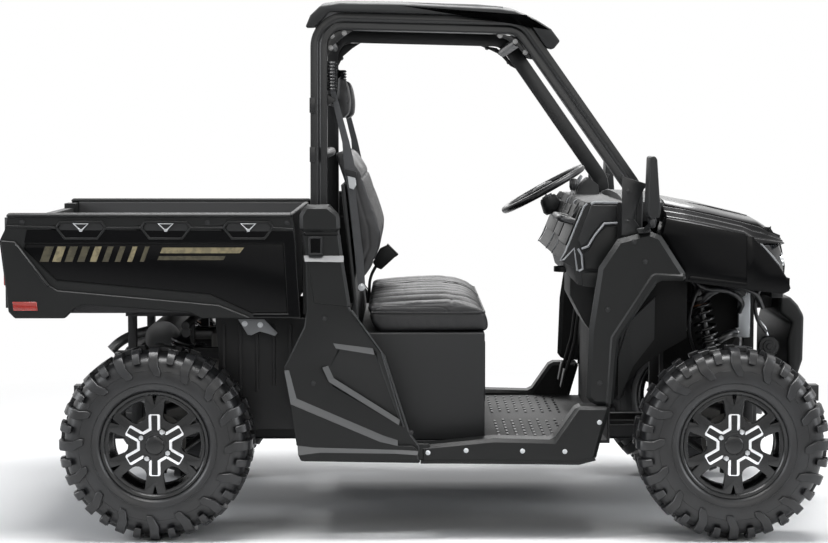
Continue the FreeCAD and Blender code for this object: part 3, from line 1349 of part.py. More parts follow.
# Cargo bed: tub, outer sides, tail lamps and hinge frame
TUB_FRONT_SHARE = 0.965
CORNER_SHARES = (0.012, 0.055)
TUB_TOP_SHARE = 0.96
bed_floor_low = bed_low + size.bed_floor_clearance
bed_floor_top = bed_floor_low + size.bed_floor_thickness
tub_half = size.body_offset - size.bed_wall
tub_rear = bed_x(CORNER_SHARES[1]) + size.running_gap
tub_outer = block("tub_outer", (tub_rear, bed_x(TUB_FRONT_SHARE)),
                  centred(tub_half - size.running_gap), (bed_floor_low, bed_z(TUB_TOP_SHARE)))
tub_inner = block("tub_inner", (tub_rear - size.overrun, bed_x(TUB_FRONT_SHARE) - size.bed_floor_thickness),
                  centred(tub_half - size.bed_floor_thickness), (bed_floor_top, bed_z(1.0)))
node("bed_tub", [cut("tub", tub_outer, tub_inner)])

BED_SIDE_SHARES = [(0.022, 0.86), (0.0, 0.731), (0.028, 0.062), (0.049, 0.0), (0.214, 0.0), (0.246, 0.091),
                   (0.274, 0.132), (0.629, 0.059), (0.67, 0.0), (0.824, 0.0), (0.998, 0.0), (0.98, 0.839),
                   (0.97, 0.989), (0.029, 0.989)]
BED_INSET_SHARES = [(0.088, 0.72), (0.077, 0.66), (0.187, 0.352), (0.698, 0.22), (0.838, 0.04),
                    (0.96, 0.04), (0.945, 0.72)]
POCKET_PLACE_SHARES = (0.165, 0.447, 0.727)
POCKET_SHARES = [(0.0, 0.858), (0.04, 0.744), (0.136, 0.744), (0.164, 0.842), (0.15, 0.88), (0.014, 0.88)]
CORNER_Z_SHARES = (0.09, 0.95)
gate_half = size.seat_offset - size.moving_gap


def bed_side():
    body = prism("bed_side", "XZ_Plane", outline(bed_x, bed_z, BED_SIDE_SHARES), -size.body_offset, -tub_half)
    recess(body, "bed_inset", "XZ_Plane", outline(bed_x, bed_z, BED_INSET_SHARES), size.skin_thickness,
           size.bed_wall, False)
    for k, place_share in enumerate(POCKET_PLACE_SHARES):
        points = [(bed_x(place_share + along), bed_z(upward)) for along, upward in POCKET_SHARES]
        recess(body, "tie_pocket_%d" % k, "XZ_Plane", points, size.pocket_depth, size.bed_wall, False)
    corner = block("bed_corner", (bed_x(CORNER_SHARES[0]), bed_x(CORNER_SHARES[1])),
                   (-(tub_half + size.overrun), -size.seat_offset),
                   (bed_z(CORNER_Z_SHARES[0]), bed_z(CORNER_Z_SHARES[1])))
    return fuse("bed_side_corner", [body, corner])


gate_pin_x = bed_x(CORNER_SHARES[0]) + size.sheet_thickness
gate_pin_z = bed_floor_top + size.gate_pin_radius
pin_hole = rod("gate_pin_hole", "y", (gate_pin_x, ZERO, gate_pin_z), size.gate_pin_radius + size.running_gap,
               -(size.seat_offset + size.panel_thickness), size.seat_offset + size.panel_thickness)
node("bed_sides", pair(cut("bed_side_right", bed_side(), pin_hole)))

LAMP_Z_SHARES = (0.3, 0.75)
LAMP_BACK_SHARE = 0.004
lamp_x = (bed_x(LAMP_BACK_SHARE), bed_x(CORNER_SHARES[0]) - size.running_gap)
lamp_block = block("tail_lamp", lamp_x, (-(tub_half - size.overrun), -(size.seat_offset + size.overrun)),
                   (bed_z(LAMP_Z_SHARES[0]), bed_z(LAMP_Z_SHARES[1])))
node("tail_lamps", pair(lamp_block))

bed_pivot_x = rear_axle - size.bed_pivot_back
BEAM_FRONT_SHARE = 0.18
beam_inner = size.upper_rail_offset + size.rail_width * HALF_SHARE + size.moving_gap
beam_outer = beam_inner + size.sheet_thickness
beam_x = (bed_pivot_x - size.bed_pin_radius - size.sheet_thickness, rear_x(BEAM_FRONT_SHARE))
beam = block("bed_beam", beam_x, (-beam_outer, -beam_inner),
             (size.bed_pivot_height - size.frame_tube_radius, bed_floor_low - size.running_gap))
beam_hole = rod("beam_hole", "y", (bed_pivot_x, ZERO, size.bed_pivot_height),
                size.bed_pin_radius + size.running_gap, -(beam_outer + size.overrun), -(beam_inner - size.overrun))
node("bed_frame", pair(cut("bed_hinge_beam", beam, beam_hole)))

gate_x = (gate_pin_x - size.gate_pin_radius, gate_pin_x - size.gate_pin_radius + size.tailgate_thickness)
GATE_TOP_SHARE = 0.9
gate_z = (gate_pin_z - size.overrun, bed_z(GATE_TOP_SHARE))
gate_plate = block("gate_plate", gate_x, centred(gate_half), gate_z)
gate_pin = rod("gate_pin", "y", (gate_pin_x, ZERO, gate_pin_z), size.gate_pin_radius,
               -(size.seat_offset + size.sheet_thickness), size.seat_offset + size.sheet_thickness)
node("tailgate", [fuse("gate", [gate_plate, gate_pin])])


# Every object has to be sound before anything is written
doc.recompute()
for thing in doc.Objects:
    if "Invalid" in thing.State or "Error" in thing.State:
        raise RuntimeError("%s failed: %s" % (thing.Name, thing.State))
for label, thing in nodes.items():
    if thing.Shape.isNull() or not thing.Shape.isValid():
        raise RuntimeError("%s has no sound shape" % label)
    if not thing.Shape.Solids:
        raise RuntimeError("%s holds no solid" % label)
for label, thing in nodes.items():
    thing.Shape.exportStep("parts/%s.step" % label)
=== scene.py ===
"""The looks of an open side by side utility vehicle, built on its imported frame."""
import math

import bpy
from mathutils import Matrix, Vector


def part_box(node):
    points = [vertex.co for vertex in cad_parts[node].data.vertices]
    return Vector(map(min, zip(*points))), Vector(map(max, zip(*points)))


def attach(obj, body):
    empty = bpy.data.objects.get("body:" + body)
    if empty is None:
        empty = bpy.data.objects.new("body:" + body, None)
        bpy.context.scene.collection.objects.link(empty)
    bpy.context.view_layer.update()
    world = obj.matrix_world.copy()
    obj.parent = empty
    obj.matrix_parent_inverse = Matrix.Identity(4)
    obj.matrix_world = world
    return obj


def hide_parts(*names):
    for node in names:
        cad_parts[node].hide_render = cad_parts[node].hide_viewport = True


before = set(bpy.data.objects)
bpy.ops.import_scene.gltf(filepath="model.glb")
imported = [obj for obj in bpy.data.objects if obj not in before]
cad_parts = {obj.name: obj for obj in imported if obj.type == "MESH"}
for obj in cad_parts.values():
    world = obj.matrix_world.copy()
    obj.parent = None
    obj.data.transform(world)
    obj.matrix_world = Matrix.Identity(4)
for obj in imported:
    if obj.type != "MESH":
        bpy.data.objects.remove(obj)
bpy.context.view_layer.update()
bpy.ops.object.select_all(action="DESELECT")
scene = bpy.context.scene

# ---- Studio: a pale floor, a white surround and soft lamps ----
# The vehicle stands on a white floor that fades into a white surround. Large lamps overhead and
# on all four sides give black plastic its long soft highlights; the camera looks at the right side.


def linear(code, factor=1.0):
    """An sRGB hex colour as the linear values that a shader takes, darkened or lightened by a factor."""
    parts = [int(code[i:i + 2], 16) / 255 for i in (1, 3, 5)]
    parts = [p / 12.92 if p <= 0.04045 else ((p + 0.055) / 1.055) ** 2.4 for p in parts]
    return tuple(min(1.0, p * factor) for p in parts) + (1.0,)


def feed(node, inputs):
    """Gives a node's inputs their values or links."""
    for key, source in inputs.items():
        if isinstance(source, bpy.types.NodeSocket):
            node.id_data.links.new(source, node.inputs[key])
        else:
            node.inputs[key].default_value = source
    return node


def put(tree, kind, inputs, **settings):
    """Adds one shader node with its settings, values and links."""
    made = tree.nodes.new(kind)
    for key, value in settings.items():
        setattr(made, key, value)
    return feed(made, inputs)


def new_material(name):
    """An empty material: its tree, its surface shader and its place on the object."""
    made = bpy.data.materials.new(name)
    made.use_nodes = True
    tree = made.node_tree
    return made, tree, tree.nodes["Principled BSDF"], put(tree, "ShaderNodeTexCoord", {}).outputs["Object"]


rear_axle_x = -0.9725
FOCAL_PIXELS, PICTURE_WIDTH = 2112.1, 828
camera_data = bpy.data.cameras.new("side_camera")
camera = bpy.data.objects.new("side_camera", camera_data)
scene.collection.objects.link(camera)
camera_data.sensor_width = 36
camera_data.lens = 36 * FOCAL_PIXELS / PICTURE_WIDTH
camera.location = (rear_axle_x + 0.8872, -8.1603, 1.4783)
camera.rotation_euler = (math.radians(90) - 0.07033, 0, -0.0038)
scene.camera = camera
scene.view_settings.view_transform = "Standard"

world = bpy.data.worlds.new("white_surround")
scene.world = world
world.use_nodes = True
sky = world.node_tree
sky.nodes.clear()
ray = put(sky, "ShaderNodeLightPath", {})
direct = put(sky, "ShaderNodeMath", {0: ray.outputs["Is Camera Ray"], 1: ray.outputs["Is Transmission Ray"]},
             operation="MAXIMUM")
seen = put(sky, "ShaderNodeMath", {0: direct.outputs[0], 1: ray.outputs["Is Glossy Ray"]}, operation="MAXIMUM")
ambient = put(sky, "ShaderNodeBackground", {"Color": linear("#e6ebf2"), "Strength": 0.22})
white = put(sky, "ShaderNodeBackground", {"Color": (1, 1, 1, 1), "Strength": 1.0})
blend = put(sky, "ShaderNodeMixShader", {0: seen.outputs[0], 1: ambient.outputs[0], 2: white.outputs[0]})
put(sky, "ShaderNodeOutputWorld", {"Surface": blend.outputs[0]})

bpy.ops.mesh.primitive_plane_add(size=60, location=(0, 0, 0))
floor = bpy.context.object
floor.name = "studio_floor"
floor_material, tree, shader, place = new_material("white_floor")
feed(shader, {"Base Color": linear("#f4f4f4"), "Roughness": 0.9, "Specular IOR Level": 0.1})
away = put(tree, "ShaderNodeVectorMath", {0: place}, operation="LENGTH")
far = put(tree, "ShaderNodeMapRange", {"Value": away.outputs["Value"], "From Min": 2.0, "From Max": 4.5})
glow = put(tree, "ShaderNodeEmission", {"Color": (1, 1, 1, 1), "Strength": 1.0})
ray = put(tree, "ShaderNodeLightPath", {})
lit = put(tree, "ShaderNodeMath", {0: far.outputs[0], 1: ray.outputs["Is Camera Ray"]}, operation="MULTIPLY")
mixed = put(tree, "ShaderNodeMixShader", {0: lit.outputs[0], 1: shader.outputs[0], 2: glow.outputs[0]})
feed(tree.nodes["Material Output"], {"Surface": mixed.outputs[0]})
floor.data.materials.append(floor_material)

for name, place, aim, size, power, colour in (
        ("overhead_lamp", (0.2, -0.6, 4.6), (0, 0, 0.6), (4.6, 1.6), 360, "#ffffff"),
        ("near_side_lamp", (0.8, -5.6, 3.0), (0, 0, 0.7), (4.2, 1.2), 30, "#fffdf8"),
        ("front_lamp", (5.2, -1.8, 2.3), (0.6, 0, 0.7), (1.4, 2.6), 110, "#f8fbff"),
        ("rear_lamp", (-5.2, -1.8, 2.4), (-0.8, 0, 0.8), (1.4, 2.6), 110, "#f8fbff"),
        ("far_side_lamp", (0, 4.6, 3.4), (0, 0, 0.8), (4.0, 1.6), 90, "#ffffff")):
    data = bpy.data.lights.new(name, "AREA")
    data.shape = "RECTANGLE"
    data.size, data.size_y = size
    data.energy = power
    data.color = linear(colour)[:3]
    lamp = bpy.data.objects.new(name, data)
    scene.collection.objects.link(lamp)
    lamp.location = place
    lamp.rotation_euler = (Vector(aim) - Vector(place)).to_track_quat("-Z", "Y").to_euler()

# ---- Tyres ----
# Four off-road utility tyres of black rubber, moulded with deep shoulder lugs that reach down the
# sidewall and smaller blocks between them. Each sits on its rim's bead and turns with the wheel.


def noise(tree, place, scale, detail):
    """A cloudy pattern from 0 to 1."""
    return put(tree, "ShaderNodeTexNoise", {"Vector": place, "Scale": scale, "Detail": detail}).outputs["Fac"]


def ranged(tree, value, low, high, start=0.0, end=1.0):
    """A value that runs from low to high while its source runs from start to end."""
    return put(tree, "ShaderNodeMapRange", {"Value": value, "From Min": start, "From Max": end, "To Min": low,
                                            "To Max": high}).outputs[0]


def bumped(tree, height, strength, distance):
    """A surface normal that follows a height pattern."""
    return put(tree, "ShaderNodeBump", {"Height": height, "Strength": strength, "Distance": distance}).outputs[0]


def two_tone(tree, share, first, second):
    """A colour between two others."""
    return put(tree, "ShaderNodeMix", {"Factor": share, "A": first, "B": second}, data_type="RGBA").outputs["Result"]


def rubber_compound(name, colour):
    """Vulcanised rubber: dull and dark, with a dusty bloom and a pitted skin."""
    made, tree, shader, place = new_material(name)
    bloom = noise(tree, place, 9.0, 4.0)
    # Pits a millimetre across, coarser than real so that they show
    pits = noise(tree, place, 620.0, 2.0)
    feed(shader, {"Base Color": two_tone(tree, ranged(tree, bloom, 0.0, 1.0, 0.4, 0.75), linear(colour),
                                         linear("#232426")),
                  "Roughness": ranged(tree, bloom, 0.30, 0.42), "Normal": bumped(tree, pits, 0.25, 0.0006)})
    return made


def only(piece):
    """Selects one piece alone and makes it the active one."""
    bpy.ops.object.select_all(action="DESELECT")
    piece.select_set(True)
    bpy.context.view_layer.objects.active = piece


def keep_mesh(piece):
    """Moves a piece's place into its mesh and applies its modifiers."""
    only(piece)
    bpy.ops.object.transform_apply(location=True, rotation=True, scale=True)
    for step in list(piece.modifiers):
        bpy.ops.object.modifier_apply(modifier=step.name)
    return piece


def modified(piece, kind, **settings):
    """Adds one modifier to a piece and applies it."""
    step = piece.modifiers.new("step", kind)
    for key, value in settings.items():
        setattr(step, key, value)
    return keep_mesh(piece)


def all_smooth(piece):
    """Shades every face of a piece smooth."""
    for face in piece.data.polygons:
        face.use_smooth = True
    return piece


def smooth(piece, angle=32):
    """Shades a piece smooth where its faces meet at less than the angle."""
    only(piece)
    bpy.ops.object.shade_smooth_by_angle(angle=math.radians(angle))
    return piece


def rounded(piece, width, segments=2, angle=35):
    """Rounds a piece's edges with a bevel and shades it smooth."""
    return smooth(modified(piece, "BEVEL", width=width, segments=segments, limit_method="ANGLE",
                           angle_limit=math.radians(angle)))


def coloured(piece, *finishes):
    """Gives a piece its materials."""
    piece.data.materials.clear()
    for finish in finishes:
        piece.data.materials.append(finish)
    return piece


def joined(name, pieces):
    """Joins pieces into one mesh under one name."""
    only(pieces[0])
    for piece in pieces:
        piece.select_set(True)
    if len(pieces) > 1:
        bpy.ops.object.join()
    pieces[0].name = pieces[0].data.name = name
    return pieces[0]


def outward(piece, merge=0.00001, flat=0.0):
    """Merges doubled points, joins faces that lie flat within some degrees and turns all faces outwards."""
    only(piece)
    bpy.ops.object.mode_set(mode="EDIT")
    bpy.ops.mesh.select_all(action="SELECT")
    bpy.ops.mesh.remove_doubles(threshold=merge)
    if flat:
        bpy.ops.mesh.dissolve_limited(angle_limit=math.radians(flat))
    bpy.ops.mesh.normals_make_consistent(inside=False)
    bpy.ops.object.mode_set(mode="OBJECT")
    return piece


def built(name, corners, faces, merge=0.00001):
    """A closed mesh piece from its corners and faces."""
    mesh = bpy.data.meshes.new(name)
    mesh.from_pydata([tuple(corner) for corner in corners], [], faces)
    mesh.update()
    made = bpy.data.objects.new(name, mesh)
    scene.collection.objects.link(made)
    return outward(made, merge)


def skin(rings, closed, start=0):
    """The faces over rings of points: the last ring joins the first one, or both ends are closed."""
    across, count = len(rings[0]), len(rings)
    faces = []
    for k in range(count if closed else count - 1):
        a, b = start + k * across, start + (k + 1) % count * across
        faces += [(a + j, a + (j + 1) % across, b + (j + 1) % across, b + j) for j in range(across)]
    if not closed:
        faces += [tuple(range(a, a + across)) for a in (start, start + (count - 1) * across)]
    return faces


def skinned(name, rings, closed):
    """A piece whose skin runs over rings of points."""
    return built(name, [corner for ring in rings for corner in ring], skin(rings, closed))


def slab(name, outline_points, near_y, far_y):
    """A plate from a side outline in X and Z, between two places across the vehicle."""
    return skinned(name, [[(x, y, z) for x, z in outline_points] for y in (near_y, far_y)], False)


def lathe(name, section, centre, side, ring=64):
    """A closed section of (reach along the axle, radius), revolved about the wheel's own axle."""
    x, y, z = centre
    turns = [2 * math.pi * k / ring for k in range(ring)]
    return skinned(name, [[(x + r * math.sin(turn), y + side * reach, z + r * math.cos(turn)) for reach, r in section]
                          for turn in turns], True)


tyre_rubber = rubber_compound("tyre_rubber", "#151516")
# The lugs' rubber is a touch lighter than the casing's: a painted highlight on the lugs
lugs_painted_lighter = rubber_compound("lugs_painted_lighter", "#171718")
tyre_radius, bead_radius, lug_height = 0.343, 0.178, 0.017
casing_radius = tyre_radius - lug_height
LUG_COUNT = 16
# Across half the casing from its middle: share of half the width, and radius
CASING_SHAPE = [(share, casing_radius - drop) for share, drop in (
    (0.0, 0.0), (0.42, 0.001), (0.66, 0.007), (0.80, 0.020), (0.88, 0.036), (0.93, 0.056), (0.955, 0.080),
    (0.95, 0.106))] + [(share, bead_radius + rise) for share, rise in (
        (0.905, 0.027), (0.875, 0.020), (0.83, 0.0165), (0.79, 0.012), (0.76, 0.003))]
# Rows of each lug's top face: angles in degrees, share of half the width, and depth below the tyre's radius.
# The long lug is bent like a boomerang; a short block stands between two of them.
LONG_LUG = [(-3.0, 3.0, 0.30, 0.0005), (-3.0, 3.0, 0.62, 0.001), (-3.1, 3.1, 0.87, 0.011), (-3.2, 3.2, 0.985, 0.030),
            (-3.5, 3.5, 1.045, 0.054), (-1.2, 6.0, 1.05, 0.078), (0.9, 6.2, 1.035, 0.095)]
SHORT_LUG = [(-2.6, 2.6, 0.66, 0.002), (-2.6, 2.6, 0.88, 0.012), (-2.5, 2.5, 1.0, 0.032), (-2.4, 2.4, 1.03, 0.047)]
CROWN = [(-4.6, 3.0, -0.22, 0.0), (-3.6, 4.0, 0.0, 0.0), (-3.0, 4.8, 0.22, 0.0)]
CROWN_EDGE = [(-3.2, 3.4, 0.33, 0.0002), (-3.4, 3.2, 0.54, 0.001)]


def casing_at(goal, half_width):
    """Half the casing's width where its outer surface has a radius."""
    for (share_0, r_0), (share_1, r_1) in zip(CASING_SHAPE, CASING_SHAPE[1:9]):
        if r_1 <= goal <= r_0:
            return half_width * (share_0 + (share_1 - share_0) * (r_0 - goal) / max(r_0 - r_1, 1e-6))


def lug_rings(rows, angle, proud, half_width, side):
    """The rings of one lug: its narrower top, and its foot sunk into the casing along the shoulder's slope."""
    rings = []
    for low, high, share, depth in rows:
        middle, half = math.radians(angle + (low + high) / 2), math.radians((high - low) / 2)
        slope = min(max((share - 0.62) / 0.42, 0.0), 1.0) * math.pi / 2
        ring = []
        for turn, drop in ((-0.93, 0.0), (0.93, 0.0), (1.0, proud), (-1.0, proud)):
            r = tyre_radius - depth - drop * math.cos(slope)
            y = side * (share * half_width - drop * math.sin(slope))
            ring.append((r * math.sin(middle + turn * half), y, r * math.cos(middle + turn * half)))
        rings.append(ring)
    return rings


def tyre_mesh(name, half_width):
    """Casing, shoulder lugs on both sides and blocks across the crown, around the Y axis."""
    shape = [(share * half_width, radius) for share, radius in CASING_SHAPE]
    section = [(-y, r) for y, r in reversed(shape)] + shape[1:]
    section += [(0.73 * half_width, bead_radius + 0.001), (-0.73 * half_width, bead_radius + 0.001)]
    pieces = [coloured(all_smooth(lathe(name + "_casing", section, (0, 0, 0), 1, 96)), tyre_rubber)]
    pitch = 360 / LUG_COUNT
    corners, faces = [], []
    for k in range(LUG_COUNT):
        lugs = [(CROWN, pitch * (k + 0.25), lug_height, 1)]
        for side, start in ((-1, pitch * k), (1, pitch * (k + 0.5))):
            lugs += [(LONG_LUG, start, 0.019, side), (SHORT_LUG, start + pitch / 2, 0.019, side),
                     (CROWN_EDGE, start + pitch / 2, lug_height, side)]
        for rows, angle, proud, side in lugs:
            rings = lug_rings(rows, angle, proud, half_width, side)
            faces += skin(rings, False, len(corners))
            corners += [corner for ring in rings for corner in ring]
    pieces.append(rounded(coloured(built(name + "_lugs", corners, faces), lugs_painted_lighter), 0.0016, 1, 25))
    # Two raised lines run round each sidewall
    for depth, proud in ((0.077, 0.0016), (0.122, 0.0022)):
        radius = tyre_radius - depth
        for side in (-1, 1):
            bpy.ops.mesh.primitive_torus_add(major_radius=radius, minor_radius=proud, major_segments=96,
                                             minor_segments=6, rotation=(math.pi / 2, 0, 0))
            bead = keep_mesh(bpy.context.object)
            bead.data.transform(Matrix.Translation((0, side * (casing_at(radius, half_width) - 0.0004), 0)))
            pieces.append(coloured(bead, tyre_rubber))
    return joined(name, pieces)


def dressed(piece, body, stands_for=None):
    """Lets a piece move with a body, in place of a solid if one is named."""
    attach(piece, body)
    if stands_for:
        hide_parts(stands_for)
    return piece


# Each wheel's name, side, centre and width over its rim
WHEELS = [("%s_%s" % (end, word), side, (axle_x, side * (0.797 - width / 2), tyre_radius), width)
          for end, axle_x, width in (("front", 1.0725, 0.229), ("rear", rear_axle_x, 0.280))
          for side, word in ((-1, "right"), (1, "left"))]
for word, side, centre, width in WHEELS:
    tyre = tyre_mesh("lugged_tyre_" + word, width / 2)
    tyre.data.transform(Matrix.Translation(centre))
    dressed(tyre, "wheel_" + word, "tyre_" + word)

# ---- Rims ----
# Cast alloy wheels painted satin black, six spokes each notched at the barrel, with a bright machined
# edge round the star. Four nuts hold each to its hub; a plain cap closes the middle.


def painted_metal(name, colour, roughness, peel=0.0):
    """Paint or powder coat on metal, with a slight unevenness and, if asked, an orange peel."""
    made, tree, shader, place = new_material(name)
    worn = noise(tree, place, 14.0, 3.0)
    feed(shader, {"Base Color": linear(colour), "IOR": 1.5,
                  "Roughness": ranged(tree, worn, roughness * 0.82, roughness * 1.2)})
    if peel:
        feed(shader, {"Normal": bumped(tree, noise(tree, place, 380.0, 1.0), 0.2, peel)})
    return made


def bare_metal(name, colour, roughness, grain=60.0):
    """Uncoated or plated metal with a cloudy polish."""
    made, tree, shader, place = new_material(name)
    cloud = noise(tree, place, grain, 3.0)
    feed(shader, {"Base Color": linear(colour), "Metallic": 1.0,
                  "Roughness": ranged(tree, cloud, roughness * 0.7, roughness * 1.35)})
    return made


def round_bar(name, start, end, radius, finish, sides=20):
    """A solid cylinder between two points."""
    run = Vector(end) - Vector(start)
    bpy.ops.mesh.primitive_cylinder_add(vertices=sides, radius=radius, depth=run.length,
                                        location=(Vector(start) + Vector(end)) / 2,
                                        rotation=run.to_track_quat("Z", "Y").to_euler())
    made = bpy.context.object
    made.name = made.data.name = name
    return coloured(keep_mesh(made), finish)


wheel_paint = painted_metal("satin_black_wheel_paint", "#08090a", 0.26)
machined = bare_metal("machined_aluminium", "#e4e5e7", 0.42, 90.0)
zinc = bare_metal("zinc_plated_steel", "#b9bbbd", 0.32, 140.0)
cast_iron = bare_metal("cast_iron", "#6c6b69", 0.55, 220.0)

# Shapes of the wheel's face, in metres from its centre: along a window's own middle line, and across
WINDOW = [(0.094, 0.0), (0.0955, 0.012), (0.100, 0.021), (0.109, 0.0285), (0.150, 0.0450), (0.1555, 0.0466),
          (0.1590, 0.0430), (0.1612, 0.030), (0.1634, 0.0150), (0.164, 0.0)]
FACE_RADIUS = 0.1768
NOTCH_CORNER, NOTCH_TIP = (0.1755, -0.0080), (0.143, 0.0)
LOBE = [(0.060, -0.0200), (0.1055, -0.0205), (0.1100, -0.0155), (0.1100, 0.0155), (0.1055, 0.0205), (0.060, 0.0200)]
# The painted field inside the star's bright border
INLAY = [(0.0540, -0.0104), (0.1032, -0.0110), (0.1064, -0.0086), (0.1064, 0.0086), (0.1032, 0.0110),
         (0.0540, 0.0104)]


def on_face(points, k, centre):
    """Points of the wheel's face in its k-th sixth, as X and Z."""
    turn = math.radians(60 * k + 30)
    return [(centre[0] + u * math.cos(turn) - v * math.sin(turn), centre[2] + u * math.sin(turn) + v * math.cos(turn))
            for u, v in points]


def spoked_face(centre, side, low, high):
    """The spoked disc in six like sectors, each a spoke with half a window on both its sides."""
    to_spoke = Matrix.Rotation(math.radians(-30), 2)
    window = [tuple(to_spoke @ Vector(point)) for point in WINDOW]
    arc = [(FACE_RADIUS * math.cos(math.radians(a)), FACE_RADIUS * math.sin(math.radians(a)))
           for a in (-30, -26, -20, -14, -8, -4)]
    half = window + arc + [NOTCH_CORNER]
    sector = [(0.0, 0.0)] + half + [NOTCH_TIP] + [(u, -v) for u, v in reversed(half)]
    count = len(sector)
    # No walls where a sector meets its neighbours
    unwalled = {0, len(window), count - len(window) - 1, count - 1}
    corners, faces = [], []
    for k in range(6):
        base = len(corners)
        corners += [(x, centre[1] + side * y, z) for y in (low, high) for x, z in on_face(sector, k, centre)]
        faces += [tuple(range(base, base + count)), tuple(range(base + count, base + 2 * count))]
        faces += [(base + i, base + i + 1, base + i + 1 + count, base + i + count) for i in range(count)
                  if i not in unwalled]
    return rounded(coloured(built("spokes", corners, faces, 0.00005), wheel_paint), 0.0022, 2, 40)


def wheel_nut(centre, side, face, angle):
    """A plated nut on its stud, in a dark seat."""
    turn = math.radians(angle)
    x, y, z = centre[0] + 0.054 * math.cos(turn), centre[1], centre[2] + 0.054 * math.sin(turn)
    seat = lathe("seat", [(face - 0.001, 0.0095), (face + 0.0022, 0.0100), (face + 0.0022, 0.0128),
                          (face - 0.001, 0.0142)], (x, y, z), side, 28)
    return [coloured(seat, wheel_paint)] + [
        rounded(round_bar(name, (x, y + side * face, z), (x, y + side * (face + long), z), radius, zinc, sides), width)
        for name, long, radius, sides, width in (("nut", 0.009, 0.0092, 6, 0.0012), ("stud", 0.012, 0.0045, 14, 0.001))]


def wheel_rim(label, centre, side, width):
    """A whole rim: barrel, spoked face, star, nuts, cap, and the hub and disc behind."""
    lip = 0.415 * width
    face = lip - 0.010
    face_low, star_face = face - 0.026, face + 0.0045
    hub_in = 0.660 - abs(centre[1])
    barrel = [(lip, 0.1885), (lip - 0.001, 0.1912), (lip - 0.004, 0.1926), (lip - 0.008, 0.1912),
              (lip - 0.0095, 0.180), (0.28 * width, 0.1772), (0.20 * width, 0.163), (-0.12 * width, 0.163),
              (-0.22 * width, 0.1772), (0.0095 - lip, 0.179), (0.008 - lip, 0.1912), (0.002 - lip, 0.192),
              (-lip, 0.188), (0.004 - lip, 0.182), (0.013 - lip, 0.1735), (-0.22 * width, 0.1725),
              (-0.13 * width, 0.158), (0.16 * width, 0.158), (0.225 * width, 0.1700), (lip - 0.013, 0.1735),
              (lip - 0.0098, FACE_RADIUS), (lip - 0.0045, 0.1800), (lip - 0.001, 0.1850)]
    cap = [(face, 0.0), (face, 0.044), (star_face + 0.001, 0.0438), (star_face + 0.002, 0.042),
           (star_face + 0.0005, 0.0345), (star_face + 0.004, 0.0325), (star_face + 0.0068, 0.0290),
           (star_face + 0.0078, 0.020), (star_face + 0.0082, 0.0)]
    hub = [(hub_in, 0.0), (hub_in, 0.060), (hub_in + 0.012, 0.060), (hub_in + 0.016, 0.050),
           (face_low + 0.002, 0.050), (face_low + 0.002, 0.0)]
    disc = [(hub_in, 0.055), (hub_in, 0.100), (hub_in + 0.005, 0.100), (hub_in + 0.005, 0.055)]
    pieces = [spoked_face(centre, side, face_low, face)]
    for name, section, ring, angle, finish in (
            ("barrel", barrel, 96, 50, wheel_paint), ("cap", cap, 48, 50, wheel_paint),
            ("hub", hub, 40, 50, cast_iron), ("brake_disc", disc, 72, 40, cast_iron)):
        pieces.append(coloured(smooth(lathe(name, section, centre, side, ring), angle), finish))
    for name, shape, low, high, edge, steps, finish in (
            ("star", LOBE, face - 0.003, star_face, 0.0012, 2, machined),
            ("inlay", INLAY, star_face - 0.002, star_face + 0.0008, 0.0006, 1, wheel_paint)):
        points = [point for k in range(6) for point in on_face(shape, k, centre)]
        plated = slab(name, points, centre[1] + side * low, centre[1] + side * high)
        pieces.append(rounded(coloured(plated, finish), edge, steps))
    for angle in (60, 150, 240, 330):
        pieces += wheel_nut(centre, side, star_face, angle)
    return joined(label, pieces)


for word, side, centre, width in WHEELS:
    made = wheel_rim("rim_%s_wheel" % word, centre, side, width)
    dressed(made, "wheel_" + word, "rim_" + word)

# ---- Body panels ----
# Injection moulded panels of grained black plastic, clipped and screwed to the frame. The hood, the
# front fenders and the bed's side insets are gloss black; the big panels have broad flat chamfers.


def grained_plastic(name, colour, roughness, grain=0.00035, sheen=0.4):
    """Moulded plastic with a leather-like grain and faint flow marks."""
    made, tree, shader, place = new_material(name)
    flow = noise(tree, place, 5.0, 3.0)
    cells = put(tree, "ShaderNodeTexVoronoi", {"Vector": place, "Scale": 900.0}).outputs["Distance"]
    feed(shader, {"Base Color": two_tone(tree, flow, linear(colour), linear(colour, 1.35)),
                  "Specular IOR Level": sheen, "Normal": bumped(tree, cells, 0.35, grain),
                  "Roughness": ranged(tree, flow, roughness * 0.88, roughness * 1.12)})
    return made


def gloss_plastic(name, colour):
    """High gloss moulded plastic, with the slight waviness of a big panel."""
    made, tree, shader, place = new_material(name)
    feed(shader, {"Base Color": linear(colour), "Specular IOR Level": 0.14,
                  "Roughness": ranged(tree, noise(tree, place, 40.0, 3.0), 0.14, 0.22),
                  "Normal": bumped(tree, noise(tree, place, 7.0, 1.0), 0.05, 0.002)})
    return made


panel_plastic = grained_plastic("grained_polypropylene", "#0e0f0f", 0.42, sheen=0.28)
# Paler plastic for the sloped bands: a painted highlight where their chamfers would catch the lamps
painted_highlight_plastic = grained_plastic("painted_highlight_polypropylene", "#3c3d3e", 0.34, 0.0001, 0.8)
# Near-black liner for the front wheel wells, darker than the other liners: painted shade in the wells
painted_shade_liner_plastic = grained_plastic("painted_shade_liner_polypropylene", "#080808", 0.66, sheen=0.15)
dark_plastic = grained_plastic("dark_grained_polypropylene", "#0f1011", 0.52)
liner_plastic = grained_plastic("liner_polyethylene", "#121213", 0.58)
gloss_black = gloss_plastic("gloss_black_plastic", "#050506")
black_steel = painted_metal("powder_coated_steel", "#0c0d0e", 0.36, 0.0004)
chassis_steel = painted_metal("dull_black_chassis_paint", "#111112", 0.52, 0.0006)
grey_steel = painted_metal("grey_coated_steel", "#77787a", 0.45)
dull_steel = bare_metal("dull_steel", "#8a8a8a", 0.45)
soft_rubber = rubber_compound("moulded_rubber", "#0f0f10")


